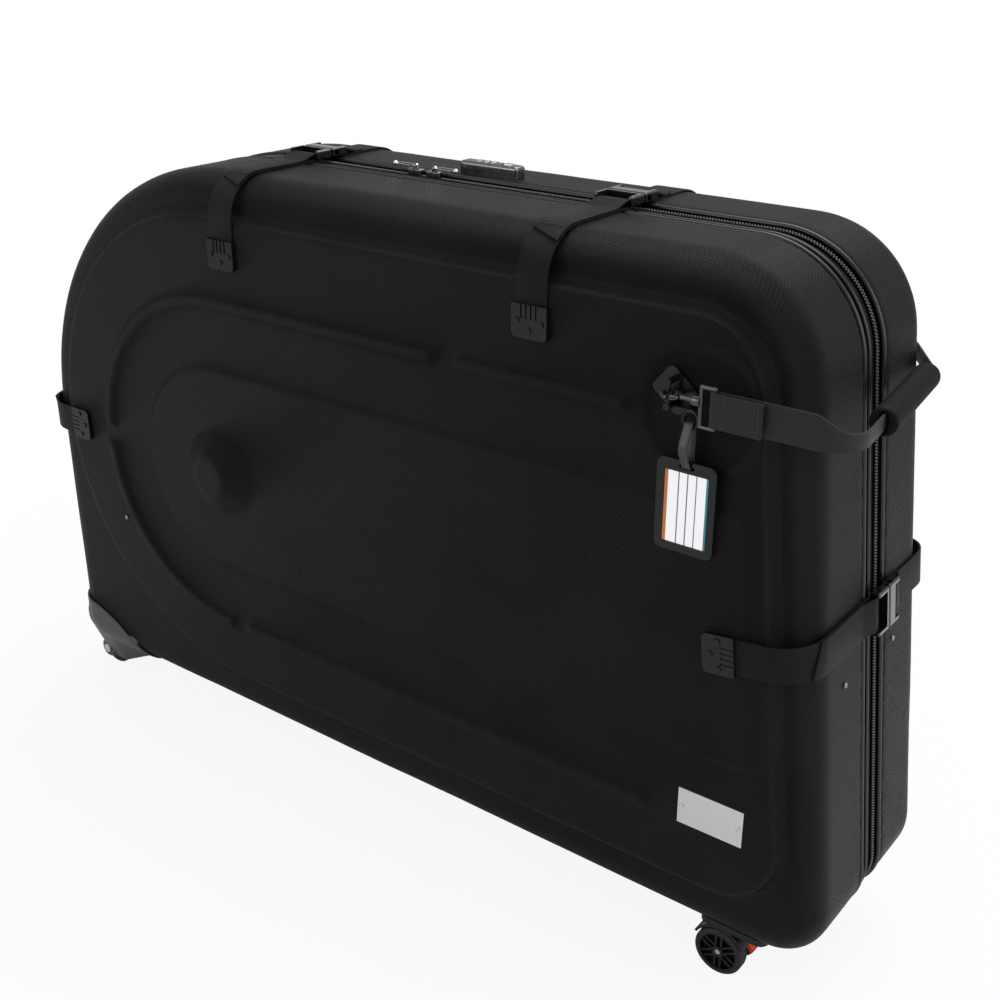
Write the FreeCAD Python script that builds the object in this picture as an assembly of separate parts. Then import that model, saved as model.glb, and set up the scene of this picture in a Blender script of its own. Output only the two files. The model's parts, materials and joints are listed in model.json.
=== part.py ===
# Bike travel case: two moulded foam half shells closed by a zip, four buckled straps, a padded tow
# handle, two fixed wheels at the left end and two swivel casters at the right end.
# Millimetres, +Z up. The front of the case looks along -Y and the zip lies in the plane y = 0 while
# the pieces are made. At the end everything is moved so that the origin is on the floor, under the
# middle of the case.
import FreeCAD
import Part
import math
import os
from FreeCAD import Vector

# General clearances
overrun = 2.0
body_gap = 0.3
running_gap = 0.05
seat_gap = 0.15

# Shell outline, seen from the front
left_end_x = -597.0
right_end_x = 616.0
ground_clearance = 77.0
shell_radius = 371.0
end_lean_angle = 6.2
top_right_radius = 120.0
bottom_right_radius = 60.0
bottom_left_radius = 45.0

# Shell depth and wall
front_depth = 151.0
rear_depth = 121.0
front_mouth_gap = 37.0
rear_mouth_gap = 15.0
shell_wall = 6.0
shell_edge_radius = 36.0

# Raised panel and its relief
panel_height = 15.0
panel_low_inset = 61.0
panel_top_inset = 43.0
panel_end_inset = 34.0
panel_slope = 6.0
panel_right_radius = 78.0
panel_round = 8.0
track_radius = 139.0
track_height = 5.0
track_end_inset = 24.0
track_slope = 4.0
track_right_radius = 12.0
bead_radius = 220.0
bead_half_width = 11.0
bead_height = 6.5
bead_slope = 5.0
bead_gap_angle = 2.0
upper_bead_end_x = 128.0
upper_right_bead_ends = (157.0, 370.0)
lower_bead_ends = (-205.0, 413.0)
dome_base_radius = 65.0
dome_top_radius = 25.5
dome_height = 28.0
dome_round = 7.0
dish_inset = 103.0
dish_drop = 10.0
dish_radius = 66.0
dish_depth = 5.0
dish_slope = 8.0

# Zip and piping
piping_radius = 3.0
piping_sink = 3.0
tape_welt_radius = 2.5
tape_welt_y = 19.0
tape_thickness = 1.2
tape_lap = 9.0
teeth_height = 4.7
teeth_half_width = 2.9

# Fabric hinge along the bottom
hinge_thickness = 1.5
hinge_lap = 7.0
hinge_end_inset = 75.0

# Webbing straps, anchor plates and buckles
web_width = 38.0
web_thickness = 2.0
strap_drop = 104.0
plate_width = 43.0
plate_height = 35.0
plate_thickness = 6.0
plate_corner_radius = 6.0
plate_groove_width = 2.4
plate_groove_depth = 1.2
plate_groove_pitch = 6.0
plate_groove_count = 4
rivet_radius = 3.4
rivet_height = 1.8
top_strap_offsets = (33.0, 479.0)
buckle_rail = 4.6
buckle_slack = 0.5
buckle_height = 10.4
buckle_lift = 2.5
buckle_bar_radius = 2.5
socket_front = 0.0
socket_length = 25.0
socket_cavity_length = 11.5
socket_wall = 2.0
socket_window_start = 3.5
socket_window_length = 7.5
frame_length = 24.0
frame_gap = 2.0
tongue_width = 12.0
tongue_length = 8.0
arm_width = 4.5
arm_barb = 3.2
arm_slack = 3.0
front_strap_tail = 92.0
rear_strap_tail = 30.0
tail_fall_start = 6.0
tail_fall_stop = 24.0
tail_bend_radius = 12.0

# Tow handle across the right end
tow_rise = 238.0
tow_web_width = 17.0
front_tow_width = 34.0
tow_taper_length = 30.0
tow_fold = 50.0
grip_radius = 14.0
grip_round = 2.5
grip_drop = 6.0
grip_front_stand = 44.0
grip_front_y = -97.0
grip_rear_stand = 25.0
grip_rear_y = 57.0
grip_bore_height = 21.0
grip_bore_width = 7.0
grip_web_insert = 20.0
grip_web_parting = 16.0
grip_web_rise = 2.0
front_bend_radius = 34.0
tow_anchor_inset = 132.0
tow_anchor_rise = 7.0
tow_anchor_width = 40.0
tow_anchor_height = 34.0
tow_anchor_thickness = 5.0
tow_anchor_angle = 40.0
anchor_bar_radius = 2.5
anchor_bar_stand = 12.0
anchor_bar_span = 24.0
anchor_post_radius = 3.5
hook_ring_radius = 8.5
hook_wire_radius = 2.6
hook_gate_angle = 90.0
hook_gate_start_angle = 200.0
hook_gate_radius = 1.9
hook_knuckle_radius = 2.3
hook_hinge_gap = 2.7
hook_nose_gap = 3.0
hook_shank_length = 14.0
hook_swivel_radius = 5.5
hook_swivel_length = 9.0
oval_wire_radius = 2.2
oval_length = 14.0
rear_tow_plate_inset = 110.0
rear_turn_inset = 20.0
rear_turn_radius = 20.0
rear_leave_gap = 8.0
rear_leave_radius = 15.0

# Luggage tag
tag_width = 64.0
tag_height = 95.0
tag_thickness = 4.6
tag_border = 8.0
tag_corner_radius = 8.0
tag_card_thickness = 0.8
tag_window_thickness = 0.6
tag_slot_width = 16.0
tag_slot_height = 4.0
tag_neck = 12.0
tag_eye_inset = 109.0
tag_eye_drop = 14.0
tag_eye_radius = 8.0
tag_eye_wire_radius = 2.0
tag_lug_thickness = 2.8
tag_strap_width = 9.0
tag_strap_thickness = 1.6
tag_strap_length = 34.0
tag_strap_bulge = 14.0

# Nameplate
nameplate_width = 76.0
nameplate_height = 43.6
nameplate_thickness = 1.0
nameplate_inset = 111.0
nameplate_rise = 102.0
nameplate_rivet_inset = 5.0

# Fixed wheels and their corner guards
wheel_radius = 31.0
wheel_width = 24.0
wheel_overhang = 7.0
wheel_hub_radius = 20.0
wheel_round = 3.0
wheel_side_gap = 1.0
wheel_axle_radius = 4.0
wheel_bolt_radius = 7.0
wheel_bolt_height = 2.5
guard_skin = 4.0
guard_cheek = 4.0
guard_cheek_inset = 50.0
guard_reach = 157.0
guard_rise = 75.0
guard_bulge = 18.0
guard_low = 15.0
guard_round = 14.0
guard_wheel_gap = 3.0
guard_wave = 16.0
guard_face_inset = 14.0
guard_face_rise = 27.0
guard_boss_radius = 15.0
guard_boss_height = 9.0
guard_rib_radius = 3.5
guard_rib_pitch = 21.0
guard_rib_count = 3

# Swivel casters
caster_end_inset = 111.0
caster_trail = 17.0
caster_inset = 53.0
caster_wheel_radius = 29.5
caster_wheel_width = 16.0
caster_tyre = 5.0
caster_wheel_spread = 10.0
caster_hub_radius = 7.0
caster_spoke_pairs = 6
caster_spoke_width = 2.2
caster_spoke_spread = 3.4
caster_web_thickness = 4.0
caster_axle_radius = 3.0
caster_plate_length = 82.0
caster_plate_width = 66.0
caster_plate_thickness = 8.0
caster_plate_radius = 12.0
caster_disc_radius = 24.0
caster_fender_thickness = 3.0
caster_fender_gap = 2.0
caster_fender_angle = 62.0
caster_body_side_gap = 1.0
caster_stem_radius = 7.0
lever_length = 30.0
lever_width = 17.0
lever_thickness = 5.0
lever_flare_start = 15.0
lever_droop_angle = 35.0
lever_pin_radius = 2.0
lever_pivot_back = 8.0
lever_pivot_drop = 10.5
lever_notch_drop = 16.0

# Lock and zip sliders on the top
lock_x = 50.0
lock_length = 82.0
lock_width = 19.0
lock_height = 15.0
lock_y = 34.0
lock_round = 4.0
dial_radius = 7.0
dial_notch_count = 10
dial_width = 6.5
dial_gap = 0.4
dial_pitch = 10.0
dial_count = 3
dial_first_offset = -16.0
dial_axle_radius = 1.5
button_width = 9.0
button_length = 11.0
button_height = 2.6
button_offset = 25.0
button_travel = 4.0
slider_places = (-36.0, -8.0)
slider_length = 20.0
slider_width = 9.0
slider_height = 6.0
slider_bail_radius = 1.3
pull_length = 30.0
pull_width = 11.0
pull_wire_radius = 1.4
pull_ball_radius = 3.0

# Rivets through the ends and straps inside
end_rivet_drop = 55.0
front_end_rivet_y = -81.0
rear_end_rivet_y = 38.0
face_rivet_left = 212.0
face_rivet_drop = 124.0
inner_strap_offsets = (106.0, 456.0)
inner_strap_drop = 218.0
inner_strap_rise = 232.0

# Values worked out from those above
lean = math.radians(end_lean_angle)
lean_slope = math.tan(lean)
hub_x = left_end_x + shell_radius
hub_z = ground_clearance + shell_radius
shell_top = hub_z + shell_radius
panel_bottom = ground_clearance + panel_low_inset
panel_top = shell_top - panel_top_inset
front_face = front_depth + panel_height
rear_face = rear_depth + panel_height
buckle_width = web_width + 2 * buckle_slack + 2 * buckle_rail
web_stand = web_thickness / 2 + seat_gap
loop_radius = buckle_bar_radius + web_stand
axis_x = Vector(1, 0, 0)
axis_y = Vector(0, 1, 0)
axis_z = Vector(0, 0, 1)
nodes = {}


def end_x(height):
    """The right end of the shell at a height above the floor."""
    return right_end_x - (height - ground_clearance) * lean_slope


end_strap_height = hub_z
tow_height = hub_z + tow_rise
tow_end_x = end_x(tow_height)
grip_z = tow_height - grip_drop
dish_x = tow_end_x - dish_inset
dish_z = tow_height - dish_drop
tow_anchor_x = tow_end_x - tow_anchor_inset
tow_anchor_z = tow_height + tow_anchor_rise
rear_tow_plate_x = tow_end_x - rear_tow_plate_inset
tag_eye_x = tow_end_x - tag_eye_inset
tag_eye_z = tow_height - tag_eye_drop
nameplate_z = panel_bottom + nameplate_rise
nameplate_x = end_x(nameplate_z) - nameplate_inset
wheel_x = left_end_x - wheel_overhang
guard_reach_x = left_end_x + guard_reach
guard_reach_z = ground_clearance + guard_rise
guard_face_low = ground_clearance + guard_face_rise
caster_x = right_end_x - caster_end_inset
end_rivet_height = end_strap_height - end_rivet_drop
shell_corners = [
    (left_end_x, ground_clearance, bottom_left_radius),
    (right_end_x, ground_clearance, bottom_right_radius),
    (end_x(shell_top), shell_top, top_right_radius),
    (left_end_x, shell_top, shell_radius),
]
panel_radius = (panel_top - panel_bottom) / 2
panel_corners = [
    (hub_x - panel_radius, panel_bottom, panel_radius),
    (end_x(panel_bottom) - panel_end_inset, panel_bottom, panel_right_radius),
    (end_x(panel_top) - panel_end_inset, panel_top, panel_right_radius),
    (hub_x - panel_radius, panel_top, panel_radius),
]
track_low = hub_z - track_radius
track_high = hub_z + track_radius
track_inset = panel_end_inset + panel_slope + track_end_inset
track_corners = [
    (hub_x - track_radius, track_low, track_radius),
    (end_x(track_low) - track_inset, track_low, track_right_radius),
    (end_x(track_high) - track_inset, track_high, track_right_radius),
    (hub_x - track_radius, track_high, track_radius),
]


# Shapes that many pieces share

def inset_corners(corners, inset):
    """Corners of a convex outline moved inwards by one distance, with their radii made smaller."""
    count = len(corners)
    lines = []
    for index in range(count):
        start = corners[index]
        stop = corners[(index + 1) % count]
        length = math.hypot(stop[0] - start[0], stop[1] - start[1])
        along = ((stop[0] - start[0]) / length, (stop[1] - start[1]) / length)
        lines.append((start[0] - along[1] * inset, start[1] + along[0] * inset, along))
    moved = []
    for index in range(count):
        first = lines[index - 1]
        second = lines[index]
        cross = first[2][0] * second[2][1] - first[2][1] * second[2][0]
        apart = (second[0] - first[0], second[1] - first[1])
        reach = (apart[0] * second[2][1] - apart[1] * second[2][0]) / cross
        radius = max(corners[index][2] - inset, 0)
        moved.append((first[0] + first[2][0] * reach, first[1] + first[2][1] * reach, radius))
    return moved


def corner_edges(route, place, closed):
    """Straight runs joined by tangent arcs through a list of points with radii."""
    count = len(route)
    ends = []
    for index, (first, second, radius) in enumerate(route):
        here = place(first, second)
        if not closed and index in (0, count - 1):
            ends.append((here, None, here))
            continue
        before = place(*route[index - 1][:2]) - here
        after = place(*route[(index + 1) % count][:2]) - here
        before.normalize()
        after.normalize()
        half = before.getAngle(after) / 2
        tangent = radius / math.tan(half)
        middle = before + after
        middle.normalize()
        crown = here + middle * (radius / math.sin(half) - radius)
        ends.append((here + before * tangent, crown if radius > 0 else None, here + after * tangent))
    edges = []
    for index, (enter, crown, leave) in enumerate(ends):
        if crown is not None:
            edges.append(Part.Arc(enter, crown, leave).toShape())
        if index == count - 1 and not closed:
            break
        following = ends[(index + 1) % count][0]
        if leave.distanceToPoint(following) > 1e-6:
            edges.append(Part.LineSegment(leave, following).toShape())
    return edges


def outline(corners, inset, y):
    """A closed outline in a plane parallel to the case's face."""
    moved = inset_corners(corners, inset)
    return Part.Wire(Part.__sortEdges__(corner_edges(moved, lambda x, z: Vector(x, y, z), True)))


def prism(corners, inset, y_start, y_stop):
    """A straight block between two planes, with the outline of the case or a part of it."""
    return Part.Face(outline(corners, inset, y_start)).extrude(Vector(0, y_stop - y_start, 0))


def frustum(corners, inset, slope, y_start, y_stop):
    """A raised block whose sides slope in towards its face."""
    foot = outline(corners, inset, y_start)
    face = outline(corners, inset + slope, y_stop)
    return Part.makeLoft([foot, face], True, True)


def edges_at_y(shape, y):
    """The edges of a shape that lie in one plane across the depth."""
    near = overrun / 100
    return [e for e in shape.Edges if all(abs(v.Point.y - y) < near for v in e.Vertexes)]


def box(low, high):
    """A plain block between two corners."""
    size = Vector(*high) - Vector(*low)
    return Part.makeBox(size.x, size.y, size.z, Vector(*low))


def rod(radius, start, stop):
    """A round bar between two points."""
    along = Vector(*stop) - Vector(*start)
    return Part.makeCylinder(radius, along.Length, Vector(*start), along)


def fuse(shapes):
    """One solid from shapes that share room."""
    return shapes[0].multiFuse(shapes[1:]).removeSplitter()


def group(shapes):
    """Separate solids kept together in one node."""
    return Part.makeCompound([solid for shape in shapes for solid in shape.Solids])


def front_of(shape):
    """The same piece on the other side of the zip plane."""
    return shape.mirror(Vector(0, 0, 0), axis_y)


def ribbon(route, thickness, place):
    """The edge face of webbing that follows a flat route of points with bend radii."""
    half = thickness / 2
    sides = []
    for sign in (1, -1):
        count = len(route)
        side = []
        for index, (first, second, radius) in enumerate(route):
            into = route[max(index - 1, 0)]
            out = route[min(index + 1, count - 1)]
            enter = (first - into[0], second - into[1]) if index > 0 else None
            leave = (out[0] - first, out[1] - second) if index < count - 1 else enter
            enter = enter or leave
            enter_angle = math.atan2(enter[1], enter[0])
            leave_angle = math.atan2(leave[1], leave[0])
            turn = (leave_angle - enter_angle + math.pi) % (2 * math.pi) - math.pi
            across = enter_angle + turn / 2 + math.pi / 2
            reach = half / math.cos(turn / 2)
            bend = radius - math.copysign(half, turn) * sign if radius > 0 else 0
            side.append((first + sign * reach * math.cos(across),
                         second + sign * reach * math.sin(across), bend))
        sides.append(side)
    left = corner_edges(sides[0], place, False)
    right = corner_edges(sides[1], place, False)
    caps = [Part.LineSegment(place(*sides[0][end][:2]), place(*sides[1][end][:2])).toShape()
            for end in (0, -1)]
    return Part.Face(Part.Wire(Part.__sortEdges__(left + right + caps)))


# Half shells: moulded foam under nylon, with a raised panel, beads, a hub dome and a dish

def bead_wire(start_angle, stop_angle, straight_x, side, y):
    """The outline of a bead along the arc round the hub, with a straight run to the right."""
    shrink = bead_slope * side
    half = bead_half_width - shrink
    trim = math.degrees(shrink / bead_radius)
    turn = math.copysign(trim, stop_angle - start_angle)
    first = math.radians(start_angle + turn)
    last = math.radians(stop_angle if straight_x is not None else stop_angle - turn)
    middle = (first + last) / 2

    def at(radius, angle):
        return Vector(hub_x + radius * math.cos(angle), y, hub_z + radius * math.sin(angle))

    outside = bead_radius + half
    inside = bead_radius - half
    edges = [
        Part.Arc(at(outside, first), at(outside, middle), at(outside, last)).toShape(),
        Part.Arc(at(inside, last), at(inside, middle), at(inside, first)).toShape(),
        Part.LineSegment(at(inside, first), at(outside, first)).toShape(),
    ]
    corners = [at(outside, last)]
    if straight_x is not None:
        corners.append(Vector(straight_x - shrink, y, hub_z + outside))
        corners.append(Vector(straight_x - shrink, y, hub_z + inside))
    corners.append(at(inside, last))
    for start, stop in zip(corners, corners[1:]):
        edges.append(Part.LineSegment(start, stop).toShape())
    return Part.Wire(Part.__sortEdges__(edges))


def straight_bead(ends, z, y_start, y_stop):
    """A straight bead between two places along the case."""
    corners = [
        (ends[0], z - bead_half_width, 0),
        (ends[1], z - bead_half_width, 0),
        (ends[1], z + bead_half_width, 0),
        (ends[0], z + bead_half_width, 0),
    ]
    return frustum(corners, 0, bead_slope, y_start, y_stop)


def dome(inset, y_base, height):
    """The round boss over the wheel hub, turned about the hub's axis."""
    base = Vector(hub_x, y_base - overrun, hub_z)
    foot = Part.makeCylinder(dome_base_radius - inset, overrun, base, axis_y)
    seat = Vector(hub_x, y_base, hub_z)
    cone = Part.makeCone(dome_base_radius - inset, dome_top_radius - inset, height, seat, axis_y)
    cone = cone.makeFillet(dome_round, edges_at_y(cone, y_base + height))
    return foot.fuse(cone).removeSplitter()


def shell_block(depth, mouth, inset):
    """The case half as one block with a rounded face edge."""
    block = prism(shell_corners, inset, mouth, depth - inset)
    return block.makeFillet(shell_edge_radius - inset, edges_at_y(block, depth - inset))


def half_shell(depth, mouth, dished):
    """One half of the case, opening towards the zip, with a dish round the tow anchor on the front."""
    face = depth + panel_height
    panel = frustum(panel_corners, 0, panel_slope, depth - overrun, face)
    panel = panel.makeFillet(panel_round, edges_at_y(panel, face))
    track = frustum(track_corners, 0, track_slope, face - overrun, face + track_height)
    top = face + bead_height
    beads = [
        Part.makeLoft([bead_wire(180 - bead_gap_angle, 90, upper_bead_end_x, 0, face - overrun),
                       bead_wire(180 - bead_gap_angle, 90, upper_bead_end_x, 1, top)], True, True),
        Part.makeLoft([bead_wire(180 + bead_gap_angle, 270, None, 0, face - overrun),
                       bead_wire(180 + bead_gap_angle, 270, None, 1, top)], True, True),
        straight_bead(upper_right_bead_ends, hub_z + bead_radius, face - overrun, top),
        straight_bead(lower_bead_ends, hub_z - bead_radius, face - overrun, top),
    ]
    solid = fuse([shell_block(depth, mouth, 0), panel, track, dome(0, face, dome_height)] + beads)
    if dished:
        dish_floor = Vector(dish_x, face - dish_depth, dish_z)
        dish = Part.makeCone(dish_radius - dish_slope, dish_radius, dish_depth, dish_floor, axis_y)
        dish_mouth = Vector(dish_x, face, dish_z)
        dish = dish.fuse(Part.makeCylinder(dish_radius, bead_height + overrun, dish_mouth, axis_y))
        solid = solid.cut(dish)
    hollow = shell_block(depth, mouth, shell_wall)
    entry = prism(shell_corners, shell_wall, mouth - overrun, mouth + overrun)
    pocket_floor = face - dish_depth - shell_wall
    pocket = frustum(panel_corners, shell_wall, panel_slope, depth - shell_wall - overrun, pocket_floor)
    return solid.cut(fuse([hollow, entry, pocket, dome(shell_wall, pocket_floor, dome_height)]))


nodes["front_shell"] = front_of(half_shell(front_depth, front_mouth_gap, True))
nodes["rear_shell"] = half_shell(rear_depth, rear_mouth_gap, False)


# Zip: a tape sewn inside each mouth with its row of teeth, piping on each mouth edge, and a slim welt
# along the front tape

def without_hinge_run(shape):
    """A ring round the mouth without its stretch along the fabric hinge."""
    reach = max(front_mouth_gap, rear_mouth_gap) + tape_lap + overrun
    cutter = box((left_end_x + hinge_end_inset - body_gap, -reach, ground_clearance - reach),
                 (right_end_x - hinge_end_inset + body_gap, reach, ground_clearance + reach))
    return shape.cut(cutter)


def zip_half(mouth):
    """Half of the zip: tape and teeth."""
    tape_inner = shell_wall + tape_thickness
    tape = prism(shell_corners, shell_wall, teeth_half_width - overrun, mouth + tape_lap)
    tape = tape.cut(prism(shell_corners, tape_inner, 0, mouth + tape_lap + overrun))
    tape = tape.cut(prism(shell_corners, 0, teeth_half_width - 2 * overrun, teeth_half_width))
    teeth = prism(shell_corners, tape_inner - teeth_height, body_gap / 2, teeth_half_width)
    teeth = teeth.cut(prism(shell_corners, tape_inner, 0, teeth_half_width + overrun))
    return without_hinge_run(fuse([tape, teeth]))


def welt(inset, y, radius):
    """A round cord that runs along a mouth."""
    path = outline(shell_corners, inset, y)
    start = path.Edges[0].valueAt(path.Edges[0].FirstParameter)
    along = path.Edges[0].tangentAt(path.Edges[0].FirstParameter)
    profile = Part.Wire(Part.makeCircle(radius, start, along))
    return without_hinge_run(path.makePipeShell([profile], True, True))


def piping(mouth):
    """The welt that edges one mouth."""
    return welt(piping_sink, mouth - piping_radius, piping_radius)


nodes["front_zip_half"] = front_of(zip_half(front_mouth_gap))
nodes["rear_zip_half"] = zip_half(rear_mouth_gap)
tape_welt = welt(shell_wall - tape_welt_radius, tape_welt_y, tape_welt_radius)
nodes["front_piping"] = front_of(group([piping(front_mouth_gap), tape_welt]))
nodes["rear_piping"] = piping(rear_mouth_gap)

# Fabric hinge: a strip sewn under both halves along the bottom
hinge_z = ground_clearance - hinge_thickness / 2
nodes["hinge_strip"] = box(
    (left_end_x + hinge_end_inset, -front_mouth_gap - hinge_lap, hinge_z - hinge_thickness / 2),
    (right_end_x - hinge_end_inset, rear_mouth_gap + hinge_lap, ground_clearance))


# Straps: webbing from a riveted plate on the face, over the edge, to a side release buckle on the zip
# They are made lying on a plane z = 0 with the zip along x and the case's depth along y

def strap_seats():
    """Where the four straps cross the zip, how far the panel's edge is, and the relief under the plate."""
    seats = []
    for offset in top_strap_offsets:
        top = Vector(hub_x + offset, 0, shell_top)
        seats.append((FreeCAD.Placement(top, FreeCAD.Rotation(axis_y, 0)), panel_top_inset, 0))
    right = Vector(end_x(end_strap_height), 0, end_strap_height)
    seats.append((FreeCAD.Placement(right, FreeCAD.Rotation(axis_y, 90 - end_lean_angle)),
                  panel_end_inset * math.cos(lean), track_height))
    left = Vector(left_end_x, 0, end_strap_height)
    seats.append((FreeCAD.Placement(left, FreeCAD.Rotation(axis_y, -90)), shell_radius - panel_radius, 0))
    return seats


def seated(shape, seat):
    """A strap piece moved to its place on the case."""
    placed = shape.copy()
    placed.Placement = seat.multiply(placed.Placement)
    return placed


bar_height = web_stand + loop_radius
frame_front = socket_front - frame_gap - frame_length
front_bar_y = frame_front + buckle_bar_radius + web_stand
socket_rear = socket_front + socket_length
rear_bar_y = socket_rear - buckle_bar_radius - web_stand
buckle_middle = buckle_lift + buckle_height / 2


def strap(face, panel_edge, bar_y, tail):
    """Webbing on one half, up the face, over the edge, round the buckle's bar and back on itself."""
    edge_room = min(panel_edge + panel_slope, panel_height + shell_edge_radius)
    loop_y = bar_y - loop_radius
    loop_top = web_stand + 2 * loop_radius
    tail_z = web_stand + web_thickness + seat_gap
    route = [
        (face + web_stand, -strap_drop, 0),
        (face + web_stand, web_stand, edge_room + web_stand),
        (loop_y, web_stand, loop_radius),
        (loop_y, loop_top, loop_radius),
        (bar_y + tail_fall_start, loop_top, tail_bend_radius),
        (bar_y + tail_fall_stop, tail_z, tail_bend_radius),
        (bar_y + tail, tail_z, 0),
    ]
    half = web_width / 2
    edge = ribbon(route, web_thickness, lambda y, z: Vector(-half, y, z))
    return edge.extrude(Vector(web_width, 0, 0))


def strap_plate(face):
    """The moulded plate that holds the webbing's end, with grooves and a channel for the webbing."""
    half = plate_width / 2
    low = -strap_drop - (plate_width - web_width) / 2
    corners = [
        (-half, low, plate_corner_radius),
        (half, low, plate_corner_radius),
        (half, low + plate_height, seat_gap),
        (-half, low + plate_height, seat_gap),
    ]
    front = face + plate_thickness
    plate = prism(corners, 0, face, front)
    channel_half = web_width / 2 + seat_gap
    plate = plate.cut(box((-channel_half, face - overrun, -strap_drop - seat_gap),
                          (channel_half, face + web_thickness + 2 * seat_gap, overrun)))
    first = -plate_groove_pitch * (plate_groove_count - 1) / 2
    groove_low = low + plate_height - plate_corner_radius - plate_height / 4
    for index in range(plate_groove_count):
        x = first + index * plate_groove_pitch
        groove = box((x - plate_groove_width / 2, front - plate_groove_depth, groove_low),
                     (x + plate_groove_width / 2, front + overrun, low + plate_height + overrun))
        plate = plate.cut(groove)
    return plate


def rivet(place, along, radius=rivet_radius):
    """A low domed rivet head standing on a face."""
    head = Part.makeCylinder(radius, rivet_height, place, along)
    rim = [e for e in head.Edges if (e.CenterOfMass - place).dot(along) > rivet_height / 2]
    rim = [e for e in rim if isinstance(e.Curve, Part.Circle)]
    return head.makeFillet(rivet_height * 2 / 3, rim)


def plate_rivets(face):
    """Three rivets in a strap plate."""
    front = face + plate_thickness
    low = -strap_drop - (plate_width - web_width) / 2
    side = plate_width / 2 - 2 * rivet_radius
    places = [(0, low + plate_height / 4), (-side, low + plate_height / 2), (side, low + plate_height / 2)]
    return [rivet(Vector(x, front, z), axis_y) for x, z in places]


def buckle_socket():
    """The buckle's socket: hollow, open to the front, with side windows and a bar for the webbing."""
    half = buckle_width / 2
    low = buckle_lift
    high = buckle_lift + buckle_height
    body = box((-half, socket_front, low), (half, socket_rear, high))
    body = body.makeFillet(socket_wall, body.Edges)
    inner = half - socket_wall
    cavity_stop = socket_front + socket_cavity_length
    body = body.cut(box((-inner, socket_front - overrun, low + socket_wall),
                        (inner, cavity_stop, high - socket_wall)))
    window_start = socket_front + socket_window_start
    body = body.cut(box((-half - overrun, window_start, low + socket_wall),
                        (half + overrun, window_start + socket_window_length, high - socket_wall)))
    slot = half - buckle_rail
    body = body.cut(box((-slot, cavity_stop + socket_wall, low - overrun),
                        (slot, socket_rear + overrun, high + overrun)))
    bar = rod(buckle_bar_radius, (-half + socket_wall, rear_bar_y, bar_height),
              (half - socket_wall, rear_bar_y, bar_height))
    return fuse([body, bar])


def buckle_frame():
    """The buckle's plug: a loop for the webbing and a guide tongue that enters the socket."""
    half = buckle_width / 2
    low = buckle_lift
    high = buckle_lift + buckle_height
    stop = frame_front + frame_length
    body = box((-half, frame_front, low), (half, stop, high))
    body = body.makeFillet(socket_wall, body.Edges)
    slot = half - buckle_rail
    body = body.cut(box((-slot, frame_front - overrun, low - overrun),
                        (slot, stop - buckle_rail, high + overrun)))
    bar = rod(buckle_bar_radius, (-half + socket_wall, front_bar_y, bar_height),
              (half - socket_wall, front_bar_y, bar_height))
    tongue_half = buckle_height / 2 - socket_wall - arm_slack / 2
    tongue = box((-tongue_width / 2, stop - overrun, buckle_middle - tongue_half),
                 (tongue_width / 2, stop + frame_gap + tongue_length, buckle_middle + tongue_half))
    return fuse([body, bar, tongue])


def buckle_arms():
    """The two springy arms of the plug, whose barbs catch in the socket's windows."""
    root = frame_front + frame_length
    inner = buckle_width / 2 - socket_wall
    half = buckle_height / 2 - socket_wall - arm_slack / 2
    barb_start = socket_front + socket_window_start + seat_gap
    barb_stop = barb_start + socket_window_length - 2 * arm_slack
    out = inner - arm_slack
    arms = []
    for side in (1, -1):
        points = [
            (out - arm_width, root),
            (out, root),
            (out, barb_start),
            (out + arm_barb, barb_start),
            (out, barb_stop + arm_barb),
            (out - arm_width, barb_stop + arm_barb),
        ]
        corners = [Vector(side * x, y, buckle_middle - half) for x, y in points]
        arm = Part.Face(Part.makePolygon(corners + corners[:1])).extrude(Vector(0, 0, 2 * half))
        arms.append(arm)
    return arms


front_straps = []
rear_straps = []
front_plates = []
rear_plates = []
front_rivets = []
rear_rivets = []
sockets = []
frames = []
arms = []
for seat, panel_edge, relief in strap_seats():
    front_seat = front_face + relief
    rear_seat = rear_face + relief
    front_strap = strap(front_seat, panel_edge, -front_bar_y, front_strap_tail)
    front_straps.append(seated(front_of(front_strap), seat))
    rear_straps.append(seated(strap(rear_seat, panel_edge, rear_bar_y, rear_strap_tail), seat))
    front_plates.append(seated(front_of(strap_plate(front_seat)), seat))
    rear_plates.append(seated(strap_plate(rear_seat), seat))
    front_rivets += [seated(front_of(r), seat) for r in plate_rivets(front_seat)]
    rear_rivets += [seated(r, seat) for r in plate_rivets(rear_seat)]
    sockets.append(seated(buckle_socket(), seat))
    frames.append(seated(buckle_frame(), seat))
    arms += [seated(arm, seat) for arm in buckle_arms()]
nodes["front_straps"] = group(front_straps)
nodes["rear_straps"] = group(rear_straps)
nodes["front_strap_plates"] = group(front_plates)
nodes["buckle_sockets"] = group(sockets)
nodes["buckle_frames"] = group(frames)
nodes["buckle_arms"] = group(arms)


# Tow handle: an anchor with a bar, a snap hook, an oval ring, webbing and a padded grip

front_web_middle = tow_height + grip_web_rise
dish_floor_y = -(front_face - dish_depth)
anchor_front_y = dish_floor_y - tow_anchor_thickness
anchor_bar_y = anchor_front_y - anchor_bar_stand
hook_clear = hook_ring_radius - hook_wire_radius - anchor_bar_radius - body_gap
hook_x = tow_anchor_x + hook_clear
hook_z = tow_anchor_z
shank_x = hook_x + hook_ring_radius
swivel_x = shank_x + hook_shank_length
oval_x = swivel_x + hook_swivel_length


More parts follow.
